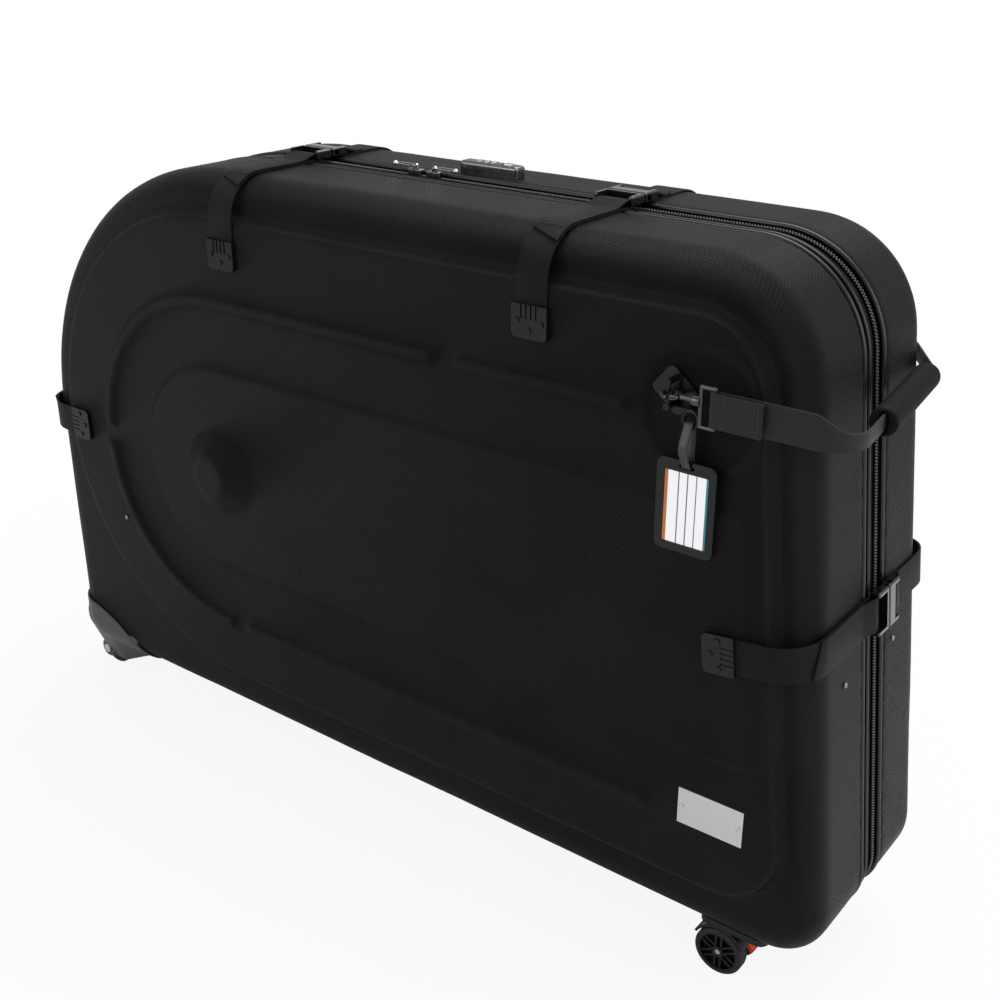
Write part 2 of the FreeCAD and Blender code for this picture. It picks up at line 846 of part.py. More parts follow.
def tow_anchor():
    """The anchor plate in the dish, turned aslant, with a bar on two posts and an eye for the tag."""
    half_width = tow_anchor_width / 2
    half_height = tow_anchor_height / 2
    corners = [
        (-half_width, -half_height, plate_corner_radius),
        (half_width, -half_height, plate_corner_radius),
        (half_width, half_height, plate_corner_radius),
        (-half_width, half_height, plate_corner_radius),
    ]
    plate = prism(corners, 0, anchor_front_y, dish_floor_y)
    plate.rotate(Vector(0, 0, 0), axis_y, tow_anchor_angle)
    plate.translate(Vector(tow_anchor_x, 0, tow_anchor_z))
    pieces = [plate]
    for side in (-1, 1):
        z = tow_anchor_z + side * anchor_bar_span / 2
        pieces.append(rod(anchor_post_radius, (tow_anchor_x, anchor_front_y + overrun, z),
                          (tow_anchor_x, anchor_bar_y - anchor_post_radius, z)))
    pieces.append(rod(anchor_bar_radius, (tow_anchor_x, anchor_bar_y, tow_anchor_z - anchor_bar_span / 2),
                      (tow_anchor_x, anchor_bar_y, tow_anchor_z + anchor_bar_span / 2)))
    pieces.append(Part.makeTorus(tag_eye_radius, tag_eye_wire_radius,
                                 Vector(tag_eye_x, tag_y, tag_eye_z), axis_y))
    lug_z = tag_eye_z + tag_eye_radius
    half_lug = tag_lug_thickness / 2
    pieces.append(box((tow_anchor_x, tag_y - half_lug, lug_z - half_lug),
                      (tag_eye_x, anchor_front_y + tow_anchor_thickness / 2, lug_z + half_lug)))
    return fuse(pieces)


tag_y = -(front_face + track_height + tag_thickness / 2 + 2 * body_gap)


def snap_hook():
    """The hook round the anchor's bar, its swivel and the oval ring that holds the webbing."""
    centre = Vector(hook_x, anchor_bar_y, hook_z)
    ring = Part.makeTorus(hook_ring_radius, hook_wire_radius, centre, axis_z, -180, 180,
                          360 - hook_gate_angle)
    ring.rotate(centre, axis_z, gate_stop_angle)
    shank = rod(hook_wire_radius, (shank_x, anchor_bar_y, hook_z),
                (swivel_x + overrun, anchor_bar_y, hook_z))
    swivel = rod(hook_swivel_radius, (swivel_x, anchor_bar_y, hook_z),
                 (swivel_x + hook_swivel_length, anchor_bar_y, hook_z))
    swivel = swivel.makeFillet(hook_swivel_radius / 4, swivel.Edges)
    half = front_tow_width / 2 + oval_wire_radius + seat_gap
    bars = []
    for x in (oval_x, oval_x + oval_length):
        bars.append(rod(oval_wire_radius, (x, anchor_bar_y, front_web_middle - half),
                        (x, anchor_bar_y, front_web_middle + half)))
    for side in (-1, 1):
        z = front_web_middle + side * half
        bars.append(rod(oval_wire_radius, (oval_x, anchor_bar_y, z), (oval_x + oval_length, anchor_bar_y, z)))
        for x in (oval_x, oval_x + oval_length):
            bars.append(Part.makeSphere(oval_wire_radius, Vector(x, anchor_bar_y, z)))
    return fuse([ring, shank, swivel] + bars)


gate_stop_angle = hook_gate_start_angle + hook_gate_angle
gate_gap_angle = math.degrees(hook_hinge_gap / hook_ring_radius)
nose_gap_angle = math.degrees(hook_nose_gap / hook_ring_radius)


def hook_gate():
    """The sprung gate that closes the hook, with a round knuckle at its hinge."""
    centre = Vector(hook_x, anchor_bar_y, hook_z)
    gate = Part.makeTorus(hook_ring_radius, hook_gate_radius, centre, axis_z, -180, 180,
                          hook_gate_angle - gate_gap_angle - nose_gap_angle)
    pivot_angle = hook_gate_start_angle + gate_gap_angle
    gate.rotate(centre, axis_z, pivot_angle)
    pivot = centre + axis_x * hook_ring_radius
    knuckle = Part.makeSphere(hook_knuckle_radius, pivot)
    knuckle.rotate(centre, axis_z, pivot_angle)
    return fuse([gate, knuckle])


grip_front = Vector(tow_end_x + grip_front_stand, grip_front_y, grip_z)
grip_rear = Vector(tow_end_x + grip_rear_stand, grip_rear_y, grip_z)
grip_along = grip_rear - grip_front
grip_length = grip_along.Length
grip_along.normalize()
grip_out = Vector(grip_along.y, -grip_along.x, 0)


def on_grip(distance, out):
    """A place along the grip's axis, counted from its front end, and off it to the right."""
    place = grip_front + grip_along * distance + grip_out * out
    return place.x, place.y


def tow_grip():
    """The padded tube round the webbing, with a flat bore."""
    tube = Part.makeCylinder(grip_radius, grip_length, grip_front, grip_along)
    tube = tube.makeFillet(grip_round, [e for e in tube.Edges if isinstance(e.Curve, Part.Circle)])
    half = grip_bore_width / 2
    corners = [on_grip(-overrun, -half), on_grip(-overrun, half),
               on_grip(grip_length + overrun, half), on_grip(grip_length + overrun, -half)]
    low = grip_z - grip_bore_height / 2
    base = Part.makePolygon([Vector(x, y, low) for x, y in corners + corners[:1]])
    return tube.cut(Part.Face(base).extrude(Vector(0, 0, grip_bore_height)))


def tow_ribbon(route, middle, width):
    """Tow webbing that stands on edge along a route seen from above."""
    edge = ribbon(route, web_thickness, lambda x, y: Vector(x, y, middle - width / 2))
    return edge.extrude(Vector(0, 0, width))


oval_loop = oval_wire_radius + web_stand
front_run_y = anchor_bar_y + oval_loop
bar_x = oval_x + oval_length
grip_line_share = (front_run_y - grip_front.y) / grip_along.y
front_corner = on_grip(grip_line_share, 0)
front_tow_route = [
    (bar_x + tow_fold, anchor_bar_y - oval_loop, 0),
    (bar_x - oval_loop, anchor_bar_y - oval_loop, oval_loop),
    (bar_x - oval_loop, front_run_y, oval_loop),
    (front_corner[0], front_corner[1], front_bend_radius),
    on_grip(grip_web_insert, 0) + (0,),
]
taper_stop_x = front_corner[0] - front_bend_radius
taper_start_x = taper_stop_x - tow_taper_length
taper_far_x = front_corner[0] + front_bend_radius


def tapered(webbing):
    """The front tow webbing narrowed on its way to the grip."""
    for side in (-1, 1):
        wide_z = front_web_middle + side * front_tow_width / 2
        slim_z = grip_z + side * tow_web_width / 2
        past_z = wide_z + side * overrun
        points = [(taper_start_x, wide_z), (taper_stop_x, slim_z), (taper_far_x, slim_z),
                  (taper_far_x, past_z), (taper_start_x, past_z)]
        corners = [Vector(x, 2 * anchor_bar_y, z) for x, z in points]
        cutter = Part.Face(Part.makePolygon(corners + corners[:1]))
        webbing = webbing.cut(cutter.extrude(Vector(0, -2 * anchor_bar_y, 0)))
    return webbing


rear_run_y = rear_face + web_stand
web_off = grip_bore_width / 2 - web_stand
rear_tow_route = [
    on_grip(grip_web_insert + grip_web_parting, web_off) + (0,),
    on_grip(grip_length + rear_leave_gap, web_off) + (rear_leave_radius,),
    (tow_end_x - rear_turn_inset, rear_run_y, rear_turn_radius),
    (rear_tow_plate_x, rear_run_y, 0),
]
nodes["front_tow_anchor"] = tow_anchor()
nodes["snap_hook"] = snap_hook()
nodes["hook_gate"] = hook_gate()
nodes["front_tow_webbing"] = tapered(tow_ribbon(front_tow_route, front_web_middle, front_tow_width))
nodes["rear_tow_webbing"] = tow_ribbon(rear_tow_route, grip_z, tow_web_width)
nodes["tow_grip"] = tow_grip()

# The rear end of the tow webbing is held by a plate like those of the straps
rear_tow_seat = FreeCAD.Placement(
    Vector(rear_tow_plate_x + strap_drop, 0, grip_z), FreeCAD.Rotation(axis_y, 90))
rear_plates.append(seated(strap_plate(rear_face), rear_tow_seat))
rear_rivets += [seated(r, rear_tow_seat) for r in plate_rivets(rear_face)]
nodes["rear_strap_plates"] = group(rear_plates)


# Luggage tag: a frame with a card behind a clear window, hung from the anchor's eye on a strap

tag_top = tag_eye_z - tag_eye_radius - tag_strap_length
tag_low = tag_top - tag_height


def tag_outline(inset):
    """The tag's corners, drawn in from its edge."""
    half = tag_width / 2
    corners = [
        (tag_eye_x - half, tag_low, tag_corner_radius),
        (tag_eye_x + half, tag_low, tag_corner_radius),
        (tag_eye_x + half, tag_top, tag_corner_radius),
        (tag_eye_x - half, tag_top, tag_corner_radius),
    ]
    return inset_corners(corners, inset)


tag_front_y = tag_y - tag_thickness / 2
tag_back_y = tag_y + tag_thickness / 2
tag_well_y = tag_back_y - tag_thickness / 3
tag_frame = prism(tag_outline(0), 0, tag_front_y, tag_back_y)
tag_well = tag_outline(tag_border)
tag_well[2] = (tag_well[2][0], tag_well[2][1] - tag_neck + tag_border, 0)
tag_well[3] = (tag_well[3][0], tag_well[3][1] - tag_neck + tag_border, 0)
tag_well = [(x, z, 0) for x, z, radius in tag_well]
tag_frame = tag_frame.cut(prism(tag_well, 0, tag_front_y - overrun, tag_well_y))
slot_z = tag_top - tag_neck / 2
slot_half = tag_slot_height / 2
tag_frame = tag_frame.cut(box(
    (tag_eye_x - tag_slot_width / 2, tag_front_y - overrun, slot_z - slot_half),
    (tag_eye_x + tag_slot_width / 2, tag_back_y + overrun, slot_z + slot_half)))
nodes["tag_frame"] = tag_frame
card_front_y = tag_well_y - tag_card_thickness
nodes["tag_card"] = prism(tag_well, seat_gap, card_front_y, tag_well_y)
nodes["tag_window"] = prism(tag_well, seat_gap, card_front_y - tag_window_thickness, card_front_y)
strap_loop = tag_eye_wire_radius + body_gap + tag_strap_thickness / 2
slot_loop = tag_thickness / 2 + body_gap + tag_strap_thickness / 2
tag_strap_half = tag_strap_width / 2
loop_low = slot_z
eye_inner_radius = tag_eye_radius - tag_eye_wire_radius
eye_inner_low = tag_eye_z - math.sqrt(eye_inner_radius ** 2 - tag_strap_half ** 2)
half_strap = tag_strap_thickness / 2
loop_high = eye_inner_low + 2 * body_gap + half_strap - strap_loop


def tag_loop(grow):
    """A loop round the eye's wire and through the tag's slot, which stands out at the front."""
    corners = [
        (tag_y - slot_loop, loop_low, 0),
        (tag_y + slot_loop, loop_low, 0),
        (tag_y + strap_loop, loop_high + strap_loop, strap_loop),
        (tag_y - strap_loop, loop_high + strap_loop, strap_loop),
        (tag_y - tag_strap_bulge, (loop_low + loop_high) / 2, tag_strap_bulge),
    ]
    grown = inset_corners(corners, -grow)
    edges = corner_edges(grown, lambda y, z: Vector(tag_eye_x - tag_strap_half, y, z), True)
    face = Part.Face(Part.Wire(Part.__sortEdges__(edges)))
    return face.extrude(Vector(tag_strap_width, 0, 0))


nodes["tag_strap"] = tag_loop(half_strap).cut(tag_loop(-half_strap))

# Nameplate: a plain metal plate with two rivets
plate_y = -front_face
name_half = nameplate_width / 2
nodes["nameplate"] = box(
    (nameplate_x - name_half, plate_y - nameplate_thickness, nameplate_z - nameplate_height / 2),
    (nameplate_x + name_half, plate_y, nameplate_z + nameplate_height / 2))
for side in (-1, 1):
    rivet_place = Vector(nameplate_x + side * (name_half - nameplate_rivet_inset),
                         plate_y - nameplate_thickness, nameplate_z)
    front_rivets.append(rivet(rivet_place, -axis_y, rivet_radius / 2 + rivet_height / 2))

# Rivets that show on the ends and the face, where the straps inside are fixed
end_normal = Vector(math.cos(lean), 0, math.sin(lean))
end_rivet_x = end_x(end_rivet_height)
front_rivets.append(rivet(Vector(end_rivet_x, front_end_rivet_y, end_rivet_height), end_normal))
rear_rivets.append(rivet(Vector(end_rivet_x, rear_end_rivet_y, end_rivet_height), end_normal))
face_rivet_x = hub_x - face_rivet_left
face_rivet_z = hub_z - face_rivet_drop
front_rivets.append(rivet(Vector(face_rivet_x, -front_face, face_rivet_z), -axis_y))
rear_rivets.append(rivet(Vector(face_rivet_x, rear_face, face_rivet_z), axis_y))

# Straps inside each half that hold the bike and its wheels against the panel


def inner_straps(face):
    """Two lengths of webbing that lie on the panel's inner side."""
    floor = face - dish_depth - shell_wall
    straps = []
    for offset in inner_strap_offsets:
        x = hub_x + offset
        straps.append(box((x - web_width / 2, floor - web_thickness, hub_z - inner_strap_drop),
                          (x + web_width / 2, floor, hub_z + inner_strap_rise)))
    return group(straps)


nodes["front_inner_straps"] = front_of(inner_straps(front_face))
nodes["rear_inner_straps"] = inner_straps(rear_face)


# Fixed wheels: a corner guard over the shell's lower left corner, whose housing carries the axle

def guard_profile():
    """The guard's reach on the face, a wave from the left end to the bottom."""
    left = left_end_x - 2 * guard_skin
    low = ground_clearance - 2 * guard_skin
    middle_x = (left_end_x + guard_reach_x) / 2
    middle_z = (ground_clearance + guard_reach_z) / 2
    start = Vector(left, 0, guard_reach_z)
    stop = Vector(guard_reach_x, 0, low)
    curve = Part.BSplineCurve()
    curve.interpolate([start, Vector(middle_x, 0, middle_z + guard_wave), stop])
    corner = Vector(left, 0, low)
    edges = [
        curve.toShape(),
        Part.LineSegment(stop, corner).toShape(),
        Part.LineSegment(corner, start).toShape(),
    ]
    return Part.Face(Part.Wire(Part.__sortEdges__(edges)))


def guard_wire(corners, y):
    """A rounded outline of the guard in one plane across the depth."""
    return Part.Wire(corner_edges(corners, lambda x, z: Vector(x, y, z), True))


def guard_span(depth):
    """The inner and outer sides of the wheel's housing."""
    outer_y = depth - guard_cheek_inset
    return outer_y - wheel_width - 2 * wheel_side_gap - 2 * guard_cheek, outer_y


def wheel_guard(depth, mouth):
    """The corner guard: a skin on the shell, a ribbed housing over the wheel and a fairing between them."""
    block = shell_block(depth, mouth, 0)
    skin = shell_block(depth, mouth, -guard_skin).cut(block)
    inner_y, outer_y = guard_span(depth)
    reach = guard_profile().extrude(Vector(0, depth + 2 * guard_skin, 0))
    reach = reach.cut(box((left_end_x - 4 * guard_skin, -overrun, 0), (guard_reach_x, inner_y, shell_top)))
    skin = skin.common(reach)
    guard_left = left_end_x - guard_bulge
    guard_top = guard_reach_z - guard_round
    guard_stop = guard_reach_x - guard_round
    hidden_x = left_end_x + bottom_left_radius
    housing_corners = [
        (guard_left, guard_top, guard_round),
        (guard_left, guard_low, guard_round),
        (wheel_x + wheel_radius, guard_low, guard_round),
        (guard_stop, ground_clearance - guard_skin, guard_skin / 2),
        (guard_stop, ground_clearance + guard_skin, guard_skin / 2),
        (hidden_x, guard_top, guard_skin / 2),
    ]
    face_left = left_end_x + guard_face_inset
    face_corners = [
        (face_left, guard_top, guard_round),
        (face_left, guard_face_low, guard_round),
        (wheel_x + 2 * wheel_radius, guard_face_low - guard_skin, guard_round),
        (guard_stop - guard_round, guard_face_low, guard_skin / 2),
        (guard_stop - guard_round, guard_face_low + guard_skin, guard_skin / 2),
        (hidden_x, guard_top, guard_skin / 2),
    ]
    housing = Part.Face(guard_wire(housing_corners, inner_y)).extrude(Vector(0, outer_y - inner_y, 0))
    fairing_ends = [guard_wire(housing_corners, outer_y), guard_wire(face_corners, depth)]
    fairing = Part.makeLoft(fairing_ends, True, True)
    well = rod(wheel_radius + guard_wheel_gap, (wheel_x, inner_y + guard_cheek, wheel_radius),
               (wheel_x, outer_y - guard_cheek, wheel_radius))
    boss = rod(guard_boss_radius, (wheel_x, outer_y - guard_cheek, wheel_radius),
               (wheel_x, outer_y + guard_boss_height, wheel_radius))
    pieces = [skin, housing.cut(block).cut(well), fairing.cut(block), boss]
    for index in range(guard_rib_count):
        rib_z = guard_top - guard_round - index * guard_rib_pitch
        pieces.append(rod(guard_rib_radius, (guard_left, inner_y + guard_cheek, rib_z),
                          (guard_left, outer_y - guard_cheek, rib_z)))
    axle_hole = rod(wheel_axle_radius, (wheel_x, -overrun, wheel_radius), (wheel_x, depth, wheel_radius))
    head_recess = rod(wheel_bolt_radius + seat_gap, (wheel_x, outer_y + guard_boss_height, wheel_radius),
                      (wheel_x, depth, wheel_radius))
    return fuse(pieces).cut(axle_hole).cut(head_recess)


def wheel_parts(depth):
    """The axle with its bolt heads, the wheel's hub and its tyre."""
    inner_y, outer_y = guard_span(depth)
    boss_y = outer_y + guard_boss_height
    axle = rod(wheel_axle_radius, (wheel_x, inner_y - wheel_bolt_height, wheel_radius),
               (wheel_x, boss_y + wheel_bolt_height, wheel_radius))
    outer_head = rod(wheel_bolt_radius, (wheel_x, boss_y, wheel_radius),
                     (wheel_x, boss_y + wheel_bolt_height, wheel_radius))
    inner_head = rod(wheel_bolt_radius, (wheel_x, inner_y - wheel_bolt_height, wheel_radius),
                     (wheel_x, inner_y, wheel_radius))
    low = inner_y + guard_cheek + wheel_side_gap
    high = low + wheel_width
    hub = rod(wheel_hub_radius, (wheel_x, low, wheel_radius), (wheel_x, high, wheel_radius))
    hub = hub.cut(rod(wheel_axle_radius + running_gap, (wheel_x, low - overrun, wheel_radius),
                      (wheel_x, high + overrun, wheel_radius)))
    tyre = rod(wheel_radius, (wheel_x, low, wheel_radius), (wheel_x, high, wheel_radius))
    tyre = tyre.makeFillet(wheel_round, [e for e in tyre.Edges if isinstance(e.Curve, Part.Circle)])
    tyre = tyre.cut(rod(wheel_hub_radius, (wheel_x, low - overrun, wheel_radius),
                        (wheel_x, high + overrun, wheel_radius)))
    return fuse([axle, outer_head, inner_head]), hub, tyre


# Swivel casters: a plate under the shell, a swivelling body with a fender, twin wheels and a lever

caster_wheel_x = caster_x - caster_trail
plate_low = ground_clearance - caster_plate_thickness
disc_top = plate_low - body_gap
fender_inner = caster_wheel_radius + caster_fender_gap
fender_outer = fender_inner + caster_fender_thickness
disc_low = caster_wheel_radius + fender_outer - caster_fender_thickness / 2
pair_half = caster_wheel_spread + caster_wheel_width
lever_pivot_x = caster_x - lever_pivot_back
lever_pivot_z = disc_low - lever_pivot_drop


def caster_plate(centre_y):
    """The mounting plate under the shell with a bore for the swivel's stem."""
    half_length = caster_plate_length / 2
    half_width = caster_plate_width / 2
    corners = [
        (caster_x - half_length, centre_y - half_width, caster_plate_radius),
        (caster_x + half_length, centre_y - half_width, caster_plate_radius),
        (caster_x + half_length, centre_y + half_width, caster_plate_radius),
        (caster_x - half_length, centre_y + half_width, caster_plate_radius),
    ]
    edges = corner_edges(corners, lambda x, y: Vector(x, y, plate_low), True)
    plate = Part.Face(Part.Wire(Part.__sortEdges__(edges))).extrude(Vector(0, 0, caster_plate_thickness))
    return plate.cut(rod(caster_stem_radius + running_gap, (caster_x, centre_y, plate_low - overrun),
                         (caster_x, centre_y, ground_clearance - seat_gap - body_gap)))


def caster_body(centre_y):
    """The swivelling body between the wheels, with its stem, race disc and fender."""
    half = caster_wheel_spread - caster_body_side_gap
    low = centre_y - half
    high = centre_y + half
    stem = rod(caster_stem_radius, (caster_x, centre_y, disc_low),
               (caster_x, centre_y, ground_clearance - seat_gap - 2 * body_gap))
    disc = rod(caster_disc_radius, (caster_x, centre_y, disc_low), (caster_x, centre_y, disc_top))
    boss = rod(caster_hub_radius + caster_tyre, (caster_wheel_x, low, caster_wheel_radius),
               (caster_wheel_x, high, caster_wheel_radius))
    web_points = [
        Vector(caster_wheel_x - caster_hub_radius - caster_tyre, low, caster_wheel_radius),
        Vector(caster_wheel_x + caster_hub_radius, low, caster_wheel_radius - caster_tyre),
        Vector(caster_x, low, lever_pivot_z - lever_pivot_back),
        Vector(caster_x + caster_disc_radius / 2, low, disc_low + overrun / 2),
        Vector(caster_wheel_x - caster_disc_radius / 2, low, disc_low + overrun / 2),
    ]
    web = Part.Face(Part.makePolygon(web_points + web_points[:1])).extrude(Vector(0, 2 * half, 0))
    fender_low = centre_y - pair_half
    fender = rod(fender_outer, (caster_wheel_x, fender_low, caster_wheel_radius),
                 (caster_wheel_x, centre_y + pair_half, caster_wheel_radius))
    fender = fender.cut(rod(fender_inner, (caster_wheel_x, fender_low - overrun, caster_wheel_radius),
                            (caster_wheel_x, centre_y + pair_half + overrun, caster_wheel_radius)))
    reach = 2 * fender_outer
    angle = math.radians(caster_fender_angle)
    side = Vector(reach * math.sin(angle), 0, reach * math.cos(angle))
    origin = Vector(caster_wheel_x, fender_low - overrun, caster_wheel_radius)
    wedge = Part.makePolygon([origin, origin + Vector(-side.x, 0, side.z),
                              origin + side, origin])
    fender = fender.common(Part.Face(wedge).extrude(Vector(0, 2 * (pair_half + overrun), 0)))
    body = fuse([stem, disc, boss, web, fender])
    body = body.cut(rod(caster_axle_radius, (caster_wheel_x, low - overrun, caster_wheel_radius),
                        (caster_wheel_x, high + overrun, caster_wheel_radius)))
    pin_half = half - caster_fender_thickness
    notch_low = lever_pivot_z - lever_notch_drop
    notch = box((lever_pivot_x - 2 * lever_pin_radius - overrun, centre_y - pin_half, notch_low),
                (caster_x + 2 * caster_disc_radius, centre_y + pin_half, disc_low))
    body = body.cut(notch)
    cheeks = []
    for start in (low, high - caster_fender_thickness):
        cheek = rod(2 * lever_pin_radius, (lever_pivot_x, start, lever_pivot_z),
                    (lever_pivot_x, start + caster_fender_thickness, lever_pivot_z))
        stop = start + caster_fender_thickness
        block = box((lever_pivot_x - 2 * lever_pin_radius, start, lever_pivot_z),
                    (lever_pivot_x + 2 * lever_pin_radius, stop, disc_low + overrun / 2))
        cheeks.append(cheek.fuse(block))
    pin = rod(lever_pin_radius, (lever_pivot_x, low, lever_pivot_z), (lever_pivot_x, high, lever_pivot_z))
    return fuse([body] + cheeks + [pin])


def caster_wheel(start_y):
    """One spoked wheel centre: rim, hub and pairs of spokes on a thin web."""
    rim_radius = caster_wheel_radius - caster_tyre
    centre = Vector(caster_wheel_x, start_y, caster_wheel_radius)
    stop_y = start_y + caster_wheel_width
    rim = Part.makeCylinder(rim_radius, caster_wheel_width, centre, axis_y)
    inner = rim_radius - caster_spoke_width
    rim = rim.cut(Part.makeCylinder(inner, caster_wheel_width + 2 * overrun,
                                    centre - axis_y * overrun, axis_y))
    hub = Part.makeCylinder(caster_hub_radius, caster_wheel_width, centre, axis_y)
    web_start = centre + axis_y * ((caster_wheel_width - caster_web_thickness) / 2)
    web = Part.makeCylinder(inner + overrun / 2, caster_web_thickness, web_start, axis_y)
    pieces = [rim, hub, web]
    for index in range(caster_spoke_pairs):
        for side in (-1, 1):
            middle = side * caster_spoke_spread
            depth = caster_wheel_width - caster_spoke_width
            spoke = box((middle - caster_spoke_width / 2, 0, caster_hub_radius / 2),
                        (middle + caster_spoke_width / 2, depth, inner + overrun / 2))
            spoke.translate(Vector(caster_wheel_x, start_y + caster_spoke_width / 2, caster_wheel_radius))
            spoke.rotate(centre, axis_y, index * 360 / caster_spoke_pairs)
            pieces.append(spoke)
    wheel = fuse(pieces)
    bore = rod(caster_axle_radius + running_gap, (caster_wheel_x, start_y - overrun, caster_wheel_radius),
               (caster_wheel_x, stop_y + overrun, caster_wheel_radius))
    return wheel.cut(bore)


def caster_tyre_ring(start_y):
    """The tyre of one caster wheel."""
    centre = Vector(caster_wheel_x, start_y, caster_wheel_radius)
    ring = Part.makeCylinder(caster_wheel_radius, caster_wheel_width, centre, axis_y)
    ring = ring.makeFillet(wheel_round, [e for e in ring.Edges if isinstance(e.Curve, Part.Circle)])
    hole = Part.makeCylinder(caster_wheel_radius - caster_tyre, caster_wheel_width + 2 * overrun,
                             centre - axis_y * overrun, axis_y)
    return ring.cut(hole)


def caster_lever(centre_y):
    """The brake lever: a hub on the body's pin and a paddle that flares between the wheels."""
    half = caster_wheel_spread - caster_body_side_gap - caster_fender_thickness - body_gap
    hub = rod(2 * lever_pin_radius - body_gap, (lever_pivot_x, centre_y - half, lever_pivot_z),
              (lever_pivot_x, centre_y + half, lever_pivot_z))
    high = lever_pivot_z + lever_thickness / 2
    low = lever_pivot_z - lever_thickness / 2
    tip_x = lever_pivot_x + lever_length
    flare_x = lever_pivot_x + lever_flare_start
    points = [
        Vector(lever_pivot_x, centre_y - half, low),
        Vector(flare_x, centre_y - half, low),
        Vector(tip_x, centre_y - lever_width / 2, low),
        Vector(tip_x, centre_y + lever_width / 2, low),
        Vector(flare_x, centre_y + half, low),
        Vector(lever_pivot_x, centre_y + half, low),
    ]
    paddle = Part.Face(Part.makePolygon(points + points[:1])).extrude(Vector(0, 0, high - low))
    paddle.rotate(Vector(lever_pivot_x, centre_y, lever_pivot_z), axis_y, lever_droop_angle)
    lever = fuse([hub, paddle])
    bore = rod(lever_pin_radius + running_gap, (lever_pivot_x, centre_y - lever_width, lever_pivot_z),
               (lever_pivot_x, centre_y + lever_width, lever_pivot_z))
    return lever.cut(bore)


def add_running_gear(name, depth, mouth, turn):
    """The wheel, guard and caster of one half."""
    axle, hub, tyre = wheel_parts(depth)
    nodes[name + "_wheel_guard"] = turn(wheel_guard(depth, mouth))
    nodes[name + "_wheel_axle"] = turn(axle)
    nodes[name + "_wheel_hub"] = turn(hub)
    nodes[name + "_wheel_tyre"] = turn(tyre)
    centre_y = depth - caster_inset
    starts = (centre_y - pair_half, centre_y + caster_wheel_spread)
    axle_rod = rod(caster_axle_radius, (caster_wheel_x, centre_y - pair_half, caster_wheel_radius),
                   (caster_wheel_x, centre_y + pair_half, caster_wheel_radius))
    nodes[name + "_caster_plate"] = turn(caster_plate(centre_y))
    nodes[name + "_caster_body"] = turn(caster_body(centre_y))
    nodes[name + "_caster_axle"] = turn(axle_rod)
    nodes[name + "_caster_wheels"] = turn(group([caster_wheel(start) for start in starts]))
    nodes[name + "_caster_tyres"] = turn(group([caster_tyre_ring(start) for start in starts]))
    nodes[name + "_caster_lever"] = turn(caster_lever(centre_y))


add_running_gear("front", front_depth, front_mouth_gap, front_of)
add_running_gear("rear", rear_depth, rear_mouth_gap, lambda shape: shape)

nodes["front_rivets"] = group(front_rivets)
nodes["rear_rivets"] = group(rear_rivets)


# Lock beside the zip on the rear half: a case with three dials and a sliding button

lock_low = lock_x - lock_length / 2
lock_high = lock_x + lock_length / 2
lock_front = lock_y - lock_width / 2
lock_back = lock_y + lock_width / 2
lock_top = shell_top + lock_height
dial_z = shell_top + lock_height - dial_radius * 3 / 4


def lock_body():
    """The lock's case with slots for its dials and their axle."""
    body = box((lock_low, lock_front, shell_top), (lock_high, lock_back, lock_top))
    upright = [e for e in body.Edges if abs(e.CenterOfMass.z - shell_top) > overrun / 100]
    body = body.makeFillet(lock_round, upright)
    for index in range(dial_count):
        x = lock_x + dial_first_offset + index * dial_pitch
        slot_half_width = dial_width / 2 + dial_gap
        body = body.cut(rod(dial_radius + dial_gap, (x - slot_half_width, lock_y, dial_z),
                            (x + slot_half_width, lock_y, dial_z)))
    first = lock_x + dial_first_offset - dial_pitch
    last = lock_x + dial_first_offset + dial_count * dial_pitch
    axle = rod(dial_axle_radius, (first, lock_y, dial_z), (last, lock_y, dial_z))
    track_low_x = lock_x + button_offset - button_length / 2 - dial_gap - button_travel
    track_high_x = lock_x + button_offset + button_length / 2 + dial_gap
    track_half = button_width / 2 + dial_gap
    body = body.cut(box((track_low_x, lock_y - track_half, lock_top - button_height / 2),
                        (track_high_x, lock_y + track_half, lock_top + overrun)))
    return fuse([body, axle])


def lock_dial(index):
    """One number wheel on the lock's axle."""
    x = lock_x + dial_first_offset + index * dial_pitch
    start = Vector(x - dial_width / 2, lock_y, dial_z)
    wheel = Part.makeCylinder(dial_radius, dial_width, start, axis_x)
    notch_radius = dial_radius / 8
    for step in range(dial_notch_count):
        angle = 2 * math.pi * step / dial_notch_count
        spot = start + Vector(-overrun, dial_radius * math.cos(angle), dial_radius * math.sin(angle))
        wheel = wheel.cut(Part.makeCylinder(notch_radius, dial_width + 2 * overrun, spot, axis_x))
    bore = Part.makeCylinder(dial_axle_radius + running_gap, dial_width + 2 * overrun,
                             start - axis_x * overrun, axis_x)
    return wheel.cut(bore)


nodes["lock_body"] = lock_body()
for index in range(dial_count):
    nodes["lock_dial_" + str(index + 1)] = lock_dial(index)
button_low = lock_x + button_offset - button_length / 2
button = box((button_low, lock_y - button_width / 2, lock_top - button_height / 2 + seat_gap),
             (button_low + button_length, lock_y + button_width / 2, lock_top + button_height / 2))
nodes["lock_button"] = button.makeFillet(button_height / 4, button.Edges)

# Zip sliders on the top run, each with a bail and a wire pull that ends in a ball
slider_low = shell_top - shell_wall - tape_thickness + teeth_height + body_gap
slider_post_y = slider_width / 2 - slider_bail_radius
pull_bore = slider_bail_radius + running_gap
pull_eye_radius = pull_bore + pull_wire_radius
bail_z = slider_low + slider_height + pull_eye_radius + body_gap


